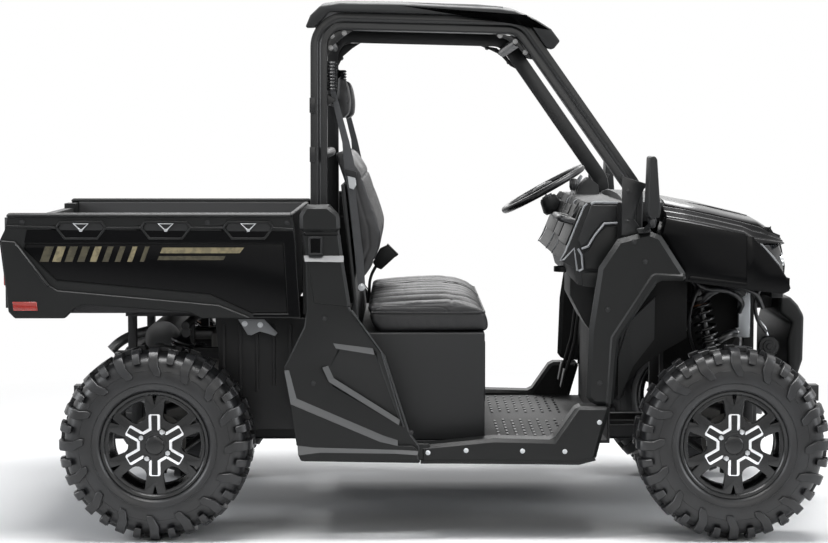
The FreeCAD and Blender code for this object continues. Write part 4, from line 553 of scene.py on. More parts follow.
def softened(node_name, finish, width=0.0, segments=1, facet=0.0, body="chassis", slot="body_plastic"):
    """A cleaned copy of a solid, its edges chamfered flat (facet) or rounded, in the solid's place."""
    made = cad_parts[node_name].copy()
    made.data = made.data.copy()
    made.parent = None
    made.matrix_world = Matrix.Identity(4)
    made.name = made.data.name = node_name + "_moulding"
    made.hide_render = made.hide_viewport = False
    scene.collection.objects.link(made)
    coloured(outward(made, 0.00002, 1.5), finish)
    if facet:
        smooth(modified(made, "BEVEL", width=facet, segments=1, limit_method="ANGLE",
                        angle_limit=math.radians(50)))
    if width:
        rounded(made, width, segments, 28)
    return dressed(made, body, node_name)


def spot(x, z, y):
    """A place measured in millimetres from the rear axle and the ground, and in metres across."""
    return (x + 1000 * rear_axle_x) / 1000, y, z / 1000


def measured(*points):
    """Side points in millimetres from the rear axle and the ground, as X and Z in metres."""
    return [spot(x, z, 0.0)[::2] for x, z in points]


def both_sides(piece):
    """Joins a piece with its mirror image on the other side."""
    twin = piece.copy()
    twin.data = piece.data.copy()
    scene.collection.objects.link(twin)
    twin.data.transform(Matrix.Scale(-1, 4, (0, 1, 0)))
    twin.data.flip_normals()
    return joined(piece.name, [piece, twin])


def fitted(name, pieces, body="chassis", stands_for=None):
    """Joins pieces of the right side, mirrors them to the left and lets them move with a body."""
    return dressed(both_sides(joined(name, pieces)), body, stands_for)


def block(name, points, near_y, far_y, width, segments, finish, angle=35):
    """A rounded plate from side points in millimetres, between two places across."""
    return coloured(rounded(slab(name, measured(*points), near_y, far_y), width, segments, angle), finish)


def plate(name, points, y, thick, width, segments, finish):
    """A rounded plate on the right side: its outer face at y, its thickness inwards."""
    return block(name, points, y, y + thick, width, segments, finish)


def facet_strip(name, raised, flush, raised_y, flush_y, finish=painted_highlight_plastic):
    """A sloped band on the right side, proud along its raised edge and flush along the other; by default in a paler
    plastic that paints the band's highlight.
    """
    rings = [[(x, raised_y, z), (u, flush_y, w), (x, flush_y + 0.002, z)]
             for (x, z), (u, w) in zip(measured(*raised), measured(*flush))]
    return coloured(skinned(name, rings, False), finish)


def wire(name, points, radius, finish, sides=3, closed=False, curved=False):
    """A round bar or hose along points, by a bevelled curve."""
    curve = bpy.data.curves.new(name, "CURVE")
    curve.dimensions = "3D"
    curve.bevel_depth = radius
    curve.bevel_resolution = sides
    curve.use_fill_caps = True
    curve.resolution_u = 8
    line = curve.splines.new("BEZIER" if curved else "POLY")
    if curved:
        line.bezier_points.add(len(points) - 1)
        for knot, point in zip(line.bezier_points, points):
            knot.co = point
            knot.handle_left_type = knot.handle_right_type = "AUTO"
    else:
        line.points.add(len(points) - 1)
        for knot, point in zip(line.points, points):
            knot.co = (*point, 1)
    line.use_cyclic_u = closed
    made = bpy.data.objects.new(name, curve)
    scene.collection.objects.link(made)
    only(made)
    bpy.ops.object.convert(target="MESH")
    return coloured(all_smooth(bpy.context.object), finish)


def side_wire(name, points, y, radius, finish, sides=2, closed=False):
    """A round bar along side points in millimetres, at one place across."""
    return wire(name, [spot(x, z, y) for x, z in points], radius, finish, sides, closed)


def outward_bar(name, place, length, radius, sides, finish, width, segments=1):
    """A rounded cylinder that stands out from the right side."""
    x, y, z = place
    return rounded(round_bar(name, place, (x, y - length, z), radius, finish, sides), width, segments)


def bolt_head(place, radius, height, sides=6, finish=zinc):
    """A bolt's head with its washer, standing out from the right side."""
    return joined("bolt", [outward_bar("washer", place, 0.0015, radius * 1.45, 24, finish, 0.0004),
                           outward_bar("bolt", place, height, radius, sides, finish, radius * 0.12)])


def bolts(points, y, *shape):
    """Bolt heads at side points."""
    return [bolt_head(spot(x, z, y), *shape) for x, z in points]


def push_clips(points, y):
    """Round plastic push clips with a raised centre, at side points."""
    return [joined("clip", [outward_bar("clip", spot(x, z, y), 0.003, 0.009, 20, dark_plastic, 0.0012, 2),
                            outward_bar("core", spot(x, z, y), 0.0042, 0.0045, 14, dark_plastic, 0.0008)])
            for x, z in points]


SIDE_Y = -0.742
for settings in (("side_panels", panel_plastic, 0.0, 1, 0.014), ("rockers", panel_plastic, 0.0, 1, 0.013),
                 ("front_quarters", panel_plastic, 0.0, 1, 0.020), ("cowl", dark_plastic, 0.003, 2),
                 ("front_bumper", panel_plastic, 0.012, 4), ("inner_fenders", liner_plastic, 0.003, 2),
                 ("roof", dark_plastic, 0.006, 3), ("floor_pan", liner_plastic, 0.003, 2),
                 ("skid_plate", dark_plastic, 0.003, 2),
                 ("front_fenders", gloss_black, 0.007, 3, 0.0, "chassis", "gloss_panel"),
                 ("hood", gloss_black, 0.004, 2, 0.0, "hood", "gloss_panel")):
    softened(*settings)

# The fascia's hinge ears are rounded off round their pins
fascia = softened("fascia", panel_plastic)
cutters = []
for y in (-0.480, 0.4085):
    for outline in ([(2219, 1130), (2219, 1092), (2228, 1079), (2275, 1060), (2275, 1130)],
                    [(2180, 1130), (2180, 1089), (2195, 1098.5), (2218, 1098.5), (2218, 1130)]):
        cutters.append(slab("ear_cut", measured(*outline), y, y + 0.0715))


def without(piece, cutter):
    """Cuts a closed piece out of another."""
    modified(piece, "BOOLEAN", operation="DIFFERENCE", solver="EXACT", object=cutter)
    bpy.data.objects.remove(cutter)
    return piece


rounded(without(fascia, joined("cutters", cutters)), 0.003)

# Sloped bands that cross the lower side panel, in paler plastic as painted highlights, the blocks below them, and the
# clips that hold it
FLUSH_Y = SIDE_Y - 0.0004
side_pieces = [
    plate("pillar_web", [(521, 1060), (572, 1060), (572, 800), (521, 800)], -0.700, 0.030, 0.002, 1, panel_plastic),
    facet_strip("sweep", [(458, 606), (480, 487), (792, 354), (858, 338)],
                [(474, 606), (500, 506), (806, 374), (858, 357)], SIDE_Y - 0.013, FLUSH_Y),
    plate("sweep_block", [(480, 486), (792, 354), (858, 338), (912, 338), (928, 322), (560, 332), (500, 340)],
          SIDE_Y - 0.013, 0.014, 0.001, 1, panel_plastic),
    facet_strip("sill_strip", [(506, 306), (584, 316), (850, 312), (928, 306)],
                [(503, 341), (580, 334), (848, 326), (930, 321)], SIDE_Y - 0.022, SIDE_Y - 0.012),
    plate("sill_block", [(506, 307), (584, 317), (850, 313), (928, 307), (932, 286), (516, 286)], SIDE_Y - 0.022,
          0.024, 0.003, 1, panel_plastic),
    facet_strip("inner_sweep", [(592, 616), (615, 566), (862, 412)], [(612, 622), (632, 578), (866, 430)],
                SIDE_Y - 0.010, FLUSH_Y),
    facet_strip("inner_top", [(640, 684), (776, 662)], [(630, 702), (770, 684)], SIDE_Y - 0.009, FLUSH_Y),
    facet_strip("front_line", [(699, 818), (803, 672), (881, 404)], [(694, 818), (798, 670), (876, 404)],
                SIDE_Y - 0.006, FLUSH_Y),
    plate("joint_cover", [(918, 286), (968, 286), (970, 344), (924, 344)], SIDE_Y + 0.003, 0.030, 0.002, 1,
          panel_plastic)]
fitted("side_panel_ridges", side_pieces + push_clips([(600, 790), (560, 560), (905, 385)], SIDE_Y - 0.001))

# The cover at the foot of the cab's rear pillar, with its head, a shelf in paler plastic as a painted highlight, and
# the latch's frame
fitted("pillar_covers", [
    plate("pillar_cover", [(518, 1092), (654, 1092), (667, 991), (684, 880), (692, 824), (556, 836), (536, 995),
                           (524, 1060)], SIDE_Y - 0.004, 0.046, 0.010, 1, panel_plastic),
    plate("pillar_head", [(513, 1156), (534, 1190), (614, 1190), (654, 1156), (656, 1094), (514, 1094)],
          SIDE_Y - 0.014, 0.050, 0.013, 1, panel_plastic),
    facet_strip("pillar_shelf", [(532, 992), (668, 990)], [(528, 1012), (668, 1012)], SIDE_Y - 0.020,
                SIDE_Y - 0.0035),
    side_wire("latch_frame", [(548, 1076), (590, 1076), (590, 1018), (548, 1018)], SIDE_Y - 0.008, 0.006,
              dark_plastic, 2, True),
    plate("latch_pocket", [(550, 1074), (588, 1074), (588, 1020), (550, 1020)], SIDE_Y - 0.005, 0.004, 0.001, 1,
          gloss_black)])

# Quarter panel: a raised border round the arch, and its clips
border = plate("arch_border", [(1874, 948), (1875, 922), (1780, 922), (1772, 913), (1640, 714), (1621, 476),
                               (1590, 480), (1606, 724), (1748, 944), (1762, 954)], -0.740, 0.032, 0.010, 1,
               panel_plastic)
fitted("quarter_trim", [border] + push_clips([(1690, 1060), (1600, 820), (1572, 560), (1730, 990)], -0.7355))

# Rocker: a rolled step along its foot and a row of screws
step_strip = plate("rocker_step", [(940, 284), (1206, 284), (1500, 280), (1556, 296), (1560, 284), (1500, 268),
                                   (1205, 273), (938, 273)], SIDE_Y - 0.003, 0.010, 0.002, 2, panel_plastic)
fitted("rocker_trim", [step_strip] + bolts([(965, 312), (1100, 320), (1300, 318), (1450, 316), (1572, 420)],
                                           SIDE_Y - 0.0005, 0.006, 0.003, 14))

# The nose's shoulders step up in folds from each fender to the hood's edge and over the lamp
SHOULDER = [(1822, 1134, 1176), (1905, 1120, 1163), (2001, 1101, 1143), (2100, 1079, 1120), (2140, 1050, 1110),
            (2175, 1046, 1100), (2216, 1044, 1080), (2254, 1043, 1060)]
HOOD_EDGE_Y = -0.4575
FOLDS = [(-0.634, 0.0), (-0.616, 0.24), (-0.574, 0.30), (-0.556, 0.62), (-0.508, 0.68), (-0.492, 0.97),
         (HOOD_EDGE_Y, 1.0)]
rings = []
for k, (x, low_z, high_z) in enumerate(SHOULDER):
    # From the fourth station on the folds are drawn in towards the nose
    tuck = 0.11 * max(0, k - 3)
    rings.append([spot(x, low_z + (high_z - low_z) * rise, y + (HOOD_EDGE_Y - y) * tuck) for y, rise in FOLDS])
    rings[-1].append(spot(x, low_z - 12, HOOD_EDGE_Y))
nose_shoulder = coloured(rounded(skinned("nose_shoulder", rings, False), 0.0035, 2, 15), gloss_black)
fitted("nose_shoulders", [nose_shoulder])

# Under the hood's edges hang narrow skirts that close the slot beside the fenders
skirt = plate("hood_skirt", [(1876, 1168), (2001, 1140), (2172, 1098), (2172, 1052), (2100, 1062), (1876, 1108)],
              -0.4495, 0.004, 0.001, 1, gloss_black)
fitted("hood_skirts", [skirt], "hood")

# Wheel well liners: a curved wall behind each front wheel, its flare, and a splash shield on the frame. The wall and
# the shield are near-black, painted shade in the well.
fitted("front_liners", [
    plate("front_liner", [(1600, 476), (1640, 480), (1684, 545), (1744, 604), (1806, 650), (1898, 704), (1900, 925),
                          (1776, 925), (1640, 740), (1608, 600)], -0.585, 0.005, 0.0015, 2, painted_shade_liner_plastic),
    plate("splash_shield", [(1850, 905), (2128, 878), (2128, 690), (2060, 566), (1905, 524), (1850, 560)], -0.300,
          0.005, 0.0015, 2, painted_shade_liner_plastic),
    plate("liner_fold", [(1668, 760), (1770, 900), (1786, 896), (1690, 764), (1660, 640), (1646, 642)], -0.592,
          0.008, 0.003, 2, dark_plastic),
    facet_strip("inner_flare", [(1652, 640), (1690, 764), (1782, 852)], [(1652, 470), (1706, 600), (1782, 700)],
                -0.600, -0.587, panel_plastic)])

# Fender flank: a shoulder line and the tip ahead of it, in gloss
fitted("fender_trim", [
    plate("fender_shoulder", [(1905, 934), (1893, 918), (2236, 873), (2252, 884), (2240, 900), (2228, 892)], -0.6405,
          0.008, 0.002, 2, gloss_black),
    plate("fender_tip", [(2104, 1076), (2127, 1073), (2143, 1052), (2182, 1012), (2222, 966), (2254, 917),
                         (2262, 886), (2236, 872), (2104, 888)], -0.6415, 0.006, 0.002, 2, gloss_black)])

# Hood: two long creases that frame a raised middle
creases = [wire("hood_crease", [spot(x, z, y * grow) for x, z, grow in (
    (1880, 1184, 1.0), (2001, 1166, 0.97), (2100, 1143, 0.93), (2170, 1126, 0.88))], 0.006, gloss_black, curved=True)
    for y in (-0.235, 0.235)]
dressed(joined("hood_creases", creases), "hood")

# Roof: long ribs pressed into its top
ribs = []
for y in (-0.42, -0.25, -0.08, 0.08, 0.25, 0.42):
    crown = 28 - 34 * abs(y) / 0.6
    ribs.append(wire("roof_rib", [spot(x, z + crown, y) for x, z in (
        (610, 1894), (700, 1901), (937, 1899), (1150, 1893), (1240, 1885))], 0.011, dark_plastic))
dressed(joined("roof_ribs", ribs), "chassis")

# ---- Cargo bed ----
# A moulded plastic tub between gloss side panels, under a grained rail cap with tie-down pockets. It
# tips with its lamps and reflectors about the pins at the back; the gate is hinged along its foot.


def tinted_lens(name, colour):
    """Moulded acrylic with prisms behind a smooth face."""
    made, tree, shader, place = new_material(name)
    prisms = put(tree, "ShaderNodeTexVoronoi", {"Vector": place, "Scale": 260.0},
                 distance="CHEBYCHEV").outputs["Distance"]
    feed(shader, {"Base Color": two_tone(tree, ranged(tree, prisms, 0.75, 1.0), linear("#1c0503"), linear(colour)),
                  "Normal": bumped(tree, prisms, 0.5, 0.001), "Roughness": 0.08, "Coat Weight": 1.0})
    return made


def printed_film(name, colour):
    """A thin printed vinyl film under a matt laminate."""
    made, tree, shader, place = new_material(name)
    dots = ranged(tree, noise(tree, place, 55.0, 4.0), 0.0, 1.0, 0.42, 0.58)
    feed(shader, {"Base Color": two_tone(tree, dots, linear(colour, 0.62), linear(colour)), "Roughness": 0.35})
    return made


red_acrylic = tinted_lens("red_acrylic", "#a51f10")
olive_film = printed_film("olive_vinyl_film", "#4c4736")
tan_film = printed_film("tan_vinyl_film", "#8c8265")

for settings in (("bed_sides", panel_plastic, 0.0, 1, 0.008, "cargo_bed"),
                 ("bed_tub", liner_plastic, 0.005, 2, 0.0, "cargo_bed"),
                 ("bed_frame", chassis_steel, 0.0025, 2, 0.0, "cargo_bed", "frame_steel"),
                 ("tailgate", panel_plastic, 0.005, 3, 0.0, "tailgate"),
                 ("tail_lamps", red_acrylic, 0.004, 3, 0.0, "cargo_bed", "red_lens")):
    softened(*settings)

# The gloss inset lies in the side's recess, its edges held by the grained frame
INSET_Y = -0.7355
bed_pieces = [
    plate("gloss_inset", [(-447, 1053), (-457, 1036), (-342, 926), (196, 877), (344, 809), (469, 809), (455, 1053)],
          INSET_Y - 0.0025, 0.005, 0.003, 3, gloss_black),
    plate("gloss_header", [(-446, 1103), (492, 1097), (512, 796), (350, 796), (348, 806), (472, 806), (458, 1056),
                           (-456, 1058)], SIDE_Y - 0.0015, 0.003, 0.001, 1, gloss_black),
    plate("bed_side_frame", [(-536, 1066), (-487, 1062), (-368, 908), (-340, 890), (228, 838), (340, 793), (330, 791),
                             (167, 791), (123, 813), (-252, 840), (-282, 825), (-316, 791), (-490, 791),
                             (-512, 814)], SIDE_Y - 0.010, 0.013, 0.009, 1, panel_plastic),
    plate("rail_cap", [(-515, 1161), (486, 1161), (487, 1144), (-517, 1144)], SIDE_Y - 0.007, 0.052, 0.006, 1,
          panel_plastic),
    plate("chevron_rib", [(-489, 1052), (-476, 1052), (-366, 906), (-374, 898)], SIDE_Y - 0.016, 0.010, 0.005, 1,
          panel_plastic),
    plate("side_reflector", [(-498, 850), (-412, 850), (-408, 818), (-494, 818)], SIDE_Y - 0.0125, 0.006, 0.003, 3,
          red_acrylic)]

# A raised line runs under the rail and round the three pockets; in each pocket hangs a silver loop,
# point down, from a plated clamp
LINE_Y = SIDE_Y - 0.001


def shifted(left, *points):
    """Side points moved along the bed."""
    return [(left + x, z) for x, z in points]


line_from = (-516, 1116)
for left in (-342, -44, 246):
    bed_pieces += [
        side_wire("pocket_border", shifted(left, (0, 1110), (14, 1131), (160, 1131), (174, 1110), (144, 1072),
                                           (30, 1072)), LINE_Y, 0.005, panel_plastic, 2, True),
        plate("pocket_floor", shifted(left, (20, 1126), (154, 1126), (166, 1109), (140, 1077), (34, 1077), (8, 1109)),
              SIDE_Y - 0.0008, 0.002, 0.0005, 1, dark_plastic),
        side_wire("tie_down", shifted(left, (62, 1124), (112, 1124), (87, 1099)), SIDE_Y - 0.003, 0.0036, zinc, 3,
                  True),
        plate("clamp", shifted(left, (79, 1106), (95, 1106), (92, 1096), (82, 1096)), SIDE_Y - 0.006, 0.008, 0.002,
              2, zinc),
        side_wire("rail_line", [line_from, (left, 1110)], LINE_Y, 0.005, panel_plastic)]
    line_from = (left + 174, 1109)
bed_pieces.append(side_wire("rail_line", [line_from, (490, 1104)], LINE_Y, 0.005, panel_plastic))

# A generic mark of slanted bars in the photo's two colours, cut from film and laid on the gloss panel
films = []
for k in range(9):
    start, wide = -382 + 44 * k, 31 - 2 * k
    films.append(([(start, 1044), (start + wide, 1044), (start + wide - 20, 990), (start - 20, 990)],
                  tan_film if k % 3 == 1 else olive_film))
films += [([(30, 1040), (318, 1040), (302, 1020), (22, 1020)], tan_film),
          ([(18, 1010), (252, 1010), (244, 996), (12, 996)], olive_film)]
bed_pieces += [coloured(slab("film", measured(*points), INSET_Y - 0.0034, INSET_Y - 0.0022), finish)
               for points, finish in films]
bed_pieces += push_clips([(-460, 1130), (190, 1128), (470, 1128)], SIDE_Y - 0.0005)
fitted("bed_side_trim", bed_pieces, body="cargo_bed")


def boxed(name, x_span, y_span, z_span, width, segments, finish):
    """A rounded box between two places along, across and up, in metres."""
    outline = [(x_span[0], z_span[0]), (x_span[1], z_span[0]), (x_span[1], z_span[1]), (x_span[0], z_span[1])]
    return coloured(rounded(slab(name, outline, *y_span), width, segments), finish)


# Ribs pressed into the tub's floor, with their ends sloped, and an apron below its front corners
low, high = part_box("bed_tub")
floor_top = low.z + 0.020
apron = plate("tub_apron", [(330, 880), (506, 880), (506, 806), (330, 806)], -0.640, 0.006, 0.001, 1, liner_plastic)
ribs = [both_sides(apron)]
for k in range(9):
    y = -0.56 + 0.14 * k
    outline = [(low.x + 0.03, floor_top - 0.002), (high.x - 0.05, floor_top - 0.002),
               (high.x - 0.056, floor_top + 0.006), (low.x + 0.036, floor_top + 0.006)]
    ribs.append(coloured(rounded(slab("floor_rib", outline, y - 0.022, y + 0.022), 0.002), liner_plastic))
dressed(joined("bed_floor_ribs", ribs), "cargo_bed")

# The gate's three panels and its handle
low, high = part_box("tailgate")
gate_pieces = [boxed("gate_panel", (low.x - 0.004, low.x + 0.006), (y - 0.14, y + 0.14),
                     (low.z + 0.06, high.z - 0.07), 0.0035, 3, panel_plastic) for y in (-0.36, 0.0, 0.36)]
gate_pieces.append(boxed("gate_handle", (low.x - 0.010, low.x + 0.006), (-0.09, 0.09),
                         (high.z - 0.058, high.z - 0.022), 0.005, 3, panel_plastic))
dressed(joined("tailgate_trim", gate_pieces), "tailgate")

# ---- Roll cage ----
# Grooved steel tube, bent to one hoop each side and powder coated satin black, tied by round bars.
# Bolted gussets stiffen the roof's corners and small hooks on the rear pillar take a screen.
softened("rops_sides", black_steel, 0.0035, 2, slot="frame_steel")
smooth(softened("rops_cross_bars", black_steel, slot="frame_steel"), 40)
cage_bits = []
for points, heads in (
        ([(604, 1800), (612, 1806), (700, 1806), (668, 1786), (628, 1752), (608, 1712)],
         [(624, 1786), (668, 1796), (620, 1744)]),
        ([(1180, 1800), (1262, 1786), (1300, 1756), (1342, 1700), (1318, 1712), (1276, 1758), (1240, 1776)],
         [(1222, 1787), (1276, 1766), (1312, 1728)])):
    cage_bits.append(plate("gusset", points, -0.6085, 0.005, 0.0012, 2, black_steel))
    cage_bits += bolts(heads, -0.6085, 0.0065, 0.005, 6, dull_steel)
for z in (1366, 1540):
    cage_bits.append(plate("hook_plate", [(546, z - 27), (546, z + 27), (566, z + 27), (566, z - 27)], -0.668, 0.012,
                           0.002, 2, black_steel))
for z in (1700, 1640, 1580):
    cage_bits.append(plate("screen_hook", [(606, z), (606, z - 44), (640, z - 22)], -0.622, 0.006, 0.0015, 2,
                           black_steel))
# The foot of each front pillar is a forked plate, bolted through the quarter panel
cage_bits.append(plate("pillar_fork", [(1651, 1290), (1650, 1078), (1738, 1078), (1694, 1138), (1726, 1240),
                                       (1742, 1262)], -0.700, 0.010, 0.003, 2, black_steel))
cage_bits += bolts([(1674, 1236), (1672, 1130)], -0.7005, 0.006, 0.004, 6, black_steel)
fitted("cage_fittings", cage_bits)

# ---- Frame and running gear ----
# Welded box rails in dull black paint, cast housings and hub carriers, and rubber boots on the half
# shafts. Everything here stays with the chassis but the knuckles and the tie rods.
for settings in (("frame", chassis_steel, 0.0025, 2, 0.0, "chassis", "frame_steel"),
                 ("front_frame", chassis_steel, 0.0025, 2, 0.0, "chassis", "frame_steel"),
                 ("rear_frame", chassis_steel, 0.0025, 2, 0.0, "chassis", "frame_steel"),
                 ("hitch_receivers", black_steel, 0.0025, 2, 0.0, "chassis", "frame_steel"),
                 ("gear_housings", cast_iron, 0.008, 3, 0.0, "chassis", "cast_metal"),
                 ("engine", cast_iron, 0.010, 3, 0.0, "chassis", "cast_metal"),
                 ("knuckle_right", cast_iron, 0.003, 2, 0.0, "knuckle_right", "cast_metal"),
                 ("knuckle_left", cast_iron, 0.003, 2, 0.0, "knuckle_left", "cast_metal")):
    softened(*settings)
for name, finish, body, slot in (("front_arms", chassis_steel, "chassis", "frame_steel"),
                                 ("rear_suspension", chassis_steel, "chassis", "frame_steel"),
                                 ("muffler", dull_steel, "chassis", "exhaust_steel"),
                                 ("drive_shafts", soft_rubber, "chassis", "raw_steel"),
                                 ("tie_rods", dull_steel, "steering_rack", "raw_steel")):
    smooth(softened(name, finish, body=body, slot=slot), 40)

# ---- Seats ----
# A split bench of foam under black vinyl, sewn in lengthwise pleats with a piped side band. The
# cushions sit on a moulded base and the backs on its shell; headrests hang from a bar of the cage.


def vinyl(name, colour):
    """Leather-grained upholstery vinyl with a soft sheen."""
    made, tree, shader, place = new_material(name)
    cells = put(tree, "ShaderNodeTexVoronoi", {"Vector": place, "Scale": 420.0}, feature="DISTANCE_TO_EDGE")
    grain = ranged(tree, cells.outputs["Distance"], 0.0, 1.0, 0.0, 0.12)
    use = noise(tree, place, 8.0, 4.0)
    feed(shader, {"Base Color": two_tone(tree, use, linear(colour), linear("#1e1e20")),
                  "Roughness": ranged(tree, use, 0.34, 0.52), "Normal": bumped(tree, grain, 0.3, 0.0007)})
    return made


def webbing(name, colour):
    """Belt webbing, a herringbone weave of polyester."""
    made, tree, shader, place = new_material(name)
    rib = put(tree, "ShaderNodeTexWave", {"Vector": place, "Scale": 160.0, "Distortion": 1.5},
              bands_direction="DIAGONAL").outputs["Fac"]
    feed(shader, {"Base Color": two_tone(tree, rib, linear(colour, 0.55), linear(colour)), "Roughness": 0.7,
                  "Normal": bumped(tree, rib, 0.5, 0.0008)})
    return made


seat_vinyl = vinyl("black_seat_vinyl", "#131314")
belt_webbing = webbing("grey_belt_webbing", "#4a4b4d")


def pillowed(piece, held, reach):
    """Blows a pad up inside its cover: points on seams are held, and none moves further than reach."""
    start = [v.co.copy() for v in piece.data.vertices]
    seams = piece.vertex_groups.new(name="seams")
    seams.add([v.index for v in piece.data.vertices if held(v)], 1.0, "REPLACE")
    cloth = piece.modifiers.new("cover", "CLOTH")
    cover = cloth.settings
    cover.quality = 4
    cover.mass = 0.25
    cover.tension_stiffness = cover.compression_stiffness = 12
    cover.shear_stiffness = 6
    cover.bending_stiffness = 2.0
    cover.use_pressure = True
    cover.uniform_pressure_force = 2.5
    cover.vertex_group_mass = "seams"
    cover.shrink_min = -0.004
    cover.effector_weights.gravity = 0.0
    cloth.point_cache.frame_start, cloth.point_cache.frame_end = 1, 12
    for frame_number in range(1, 13):
        scene.frame_set(frame_number)
    only(piece)
    bpy.ops.object.modifier_apply(modifier="cover")
    piece.select_set(False)
    scene.frame_set(1)
    for v, first in zip(piece.data.vertices, start):
        moved = v.co - first
        if moved.length > reach:
            v.co = first + moved * (reach / moved.length)
    return piece


def sewn_pad(name, outline, span, edge, cell, held, reach):
    """A foam pad in its cover: rounded, evenly meshed, blown up between its seams and made finer."""
    pad = rounded(slab(name, measured(*outline), *span), edge, 4, 25)
    pad = pillowed(modified(pad, "REMESH", mode="VOXEL", voxel_size=cell), held, reach)
    return coloured(all_smooth(modified(pad, "SUBSURF", levels=1, render_levels=1)), seat_vinyl)


def grooved(piece, depth_at):
    """Presses a sewn line into the pad's skin: depth_at gives the depth at a point with its normal."""
    piece.data.update()
    pushes = [(v, v.normal.copy(), depth_at(v.co, v.normal)) for v in piece.data.vertices]
    for v, normal, depth in pushes:
        if depth > 0:
            v.co -= normal * depth
    return piece


def dip(distance, width, depth):
    """A rounded groove's depth at a distance from its line."""
    return depth * math.exp(-(distance / width) ** 2)


def rolls(place, seams, depth):
    """How far the skin lies below the crown of a sewn roll between two neighbouring seams."""
    for low, high in zip(seams, seams[1:]):
        if low <= place <= high:
            return depth * (1.0 - math.sin(math.pi * (place - low) / (high - low)) ** 0.8)
    return 0.0


def from_line(place, path):
    """The distance in X and Z from a place to a sewn line through some points."""
    best = 1.0
    for start, end in zip(path, path[1:]):
        a, b = Vector(start), Vector(end)
        share = min(max((place - a).dot(b - a) / (b - a).length_squared, 0.0), 1.0)
        best = min(best, (place - a - (b - a) * share).length)
    return best


def pleat_seams(low, high, pitch=0.125):
    """Places of the sewn lines across a pad, evenly spread from border to border."""
    count = max(2, round((high - low) / pitch))
    return [low + (high - low) * k / count for k in range(count + 1)]


CUSHION_SIDE = [(751, 824), (753, 848), (900, 860), (1048, 866), (1104, 856), (1142, 834), (1172, 796), (1184, 752),
                (1180, 731), (792, 728), (762, 760)]
BACK_SIDE = [(724, 1300), (752, 1212), (782, 1128), (797, 1085), (793, 1036), (768, 975), (738, 926), (716, 921),
             (694, 1080), (668, 1268), (634, 1366), (645, 1376), (668, 1372)]
HEADREST_SIDE = [(641, 1646), (664, 1640), (674, 1600), (680, 1540), (678, 1512), (654, 1492), (641, 1500),
                 (635, 1560)]
BACK_SEAM = measured((700, 1280), (752, 1100), (756, 1036), (722, 950))
SIDE_SEAM = measured((768, 794), (775, 826), (800, 840), (999, 846), (1024, 838), (1046, 794))
# Heights of the cushion's band and the back's cross seams, the front roll's place, and how deep seams are
BAND_Z, LOW_SEAM_Z, HIGH_SEAM_Z = 0.794, 0.985, 1.28
ROLL_X = 0.0795
SEAM_HALF, PLEAT_DEPTH, SEAM_WIDTH, SEAM_DEPTH = 0.0045, 0.013, 0.004, 0.0035


def seat_cushion(name, y_low, y_high):
    """One cushion: pleated top, piped side band and front roll."""
    seams = pleat_seams(y_low + 0.055, y_high - 0.055)

    def held(v):
        x, y, z = v.co
        pleat = v.normal.z > 0.55 and x < ROLL_X + 0.01 and min(abs(y - seam) for seam in seams) < SEAM_HALF
        roll = abs(x - ROLL_X) < 0.005 and v.normal.z > 0.4
        band = abs(z - BAND_Z) < 0.005 and v.normal.z < 0.6
        return z < 0.742 or x < -0.205 or pleat or roll or band

    def sewn(co, normal):
        depth = 0.0
        if normal.z > 0.0 and normal.x < 0.97:
            depth = rolls(co.y, seams, PLEAT_DEPTH)
        if normal.z > 0.25 and not seams[0] < co.y < seams[-1]:
            depth = max(depth, dip(co.x - ROLL_X, 0.0045, SEAM_DEPTH))
        if abs(normal.y) > 0.6:
            depth = max(depth, dip(from_line(Vector((co.x, co.z)), SIDE_SEAM), SEAM_WIDTH, SEAM_DEPTH))
        if normal.z < 0.7:
            depth = max(depth, dip(co.z - BAND_Z, SEAM_WIDTH, SEAM_DEPTH))
        return depth

    pad = grooved(sewn_pad(name, CUSHION_SIDE, (y_low, y_high), 0.020, 0.0085, held, 0.007), sewn)
    # The foam is crowned: its top falls away to the cushion's outer edges
    for v in pad.data.vertices:
        top = min(max((v.co.z - 0.800) / 0.055, 0.0), 1.0)
        edge = min(max((abs(v.co.y) - 0.36) / 0.23, 0.0), 1.0)
        v.co.z -= top * (0.008 + 0.024 * edge * edge)
    return pad


def seat_back(name, y_low, y_high):
    """One back: upright pleats between side bolsters, with a seam across below and above."""
    seams = pleat_seams(y_low + 0.06, y_high - 0.06)

    def held(v):
        x, y, z = v.co
        pleat = v.normal.x > 0.5 and 0.99 < z < 1.275 and min(abs(y - seam) for seam in seams) < SEAM_HALF
        cross = v.normal.x > 0.4 and min(abs(z - LOW_SEAM_Z), abs(z - HIGH_SEAM_Z)) < 0.005
        return v.normal.x < -0.55 or z < 0.935 or pleat or cross

    def sewn(co, normal):
        depth = 0.0
        if normal.x > 0.35 and LOW_SEAM_Z < co.z < HIGH_SEAM_Z:
            depth = rolls(co.y, seams, PLEAT_DEPTH)
        if abs(normal.y) > 0.6:
            depth = max(depth, dip(from_line(Vector((co.x, co.z)), BACK_SEAM), SEAM_WIDTH, SEAM_DEPTH))
        if normal.x > 0.3:
            depth = max(depth, dip(co.z - LOW_SEAM_Z, 0.0045, 0.004), dip(co.z - HIGH_SEAM_Z, 0.0045, 0.004))
        return depth

    return grooved(sewn_pad(name, BACK_SIDE, (y_low, y_high), 0.018, 0.0085, held, 0.006), sewn)


for word, y_low, y_high in (("near", -0.600, 0.120), ("far", 0.148, 0.600)):
    for pad, solid in ((seat_cushion(word + "_cushion", y_low, y_high), "seat_cushions"),
                       (seat_back(word + "_back", y_low, y_high), "seat_backs")):
        dressed(pad, "chassis", solid)
    # Piping sewn round the band of each cushion
    piping = wire(word + "_piping", [spot(x, 798, y) for x, y in (
        (762, y_low - 0.002), (960, y_low - 0.002), (1150, y_low - 0.002), (1170, y_low + 0.016),
        (1170, y_high - 0.016), (1150, y_high + 0.002), (960, y_high + 0.002), (762, y_high + 0.002))],
        0.0036, seat_vinyl)
    dressed(piping, "chassis")

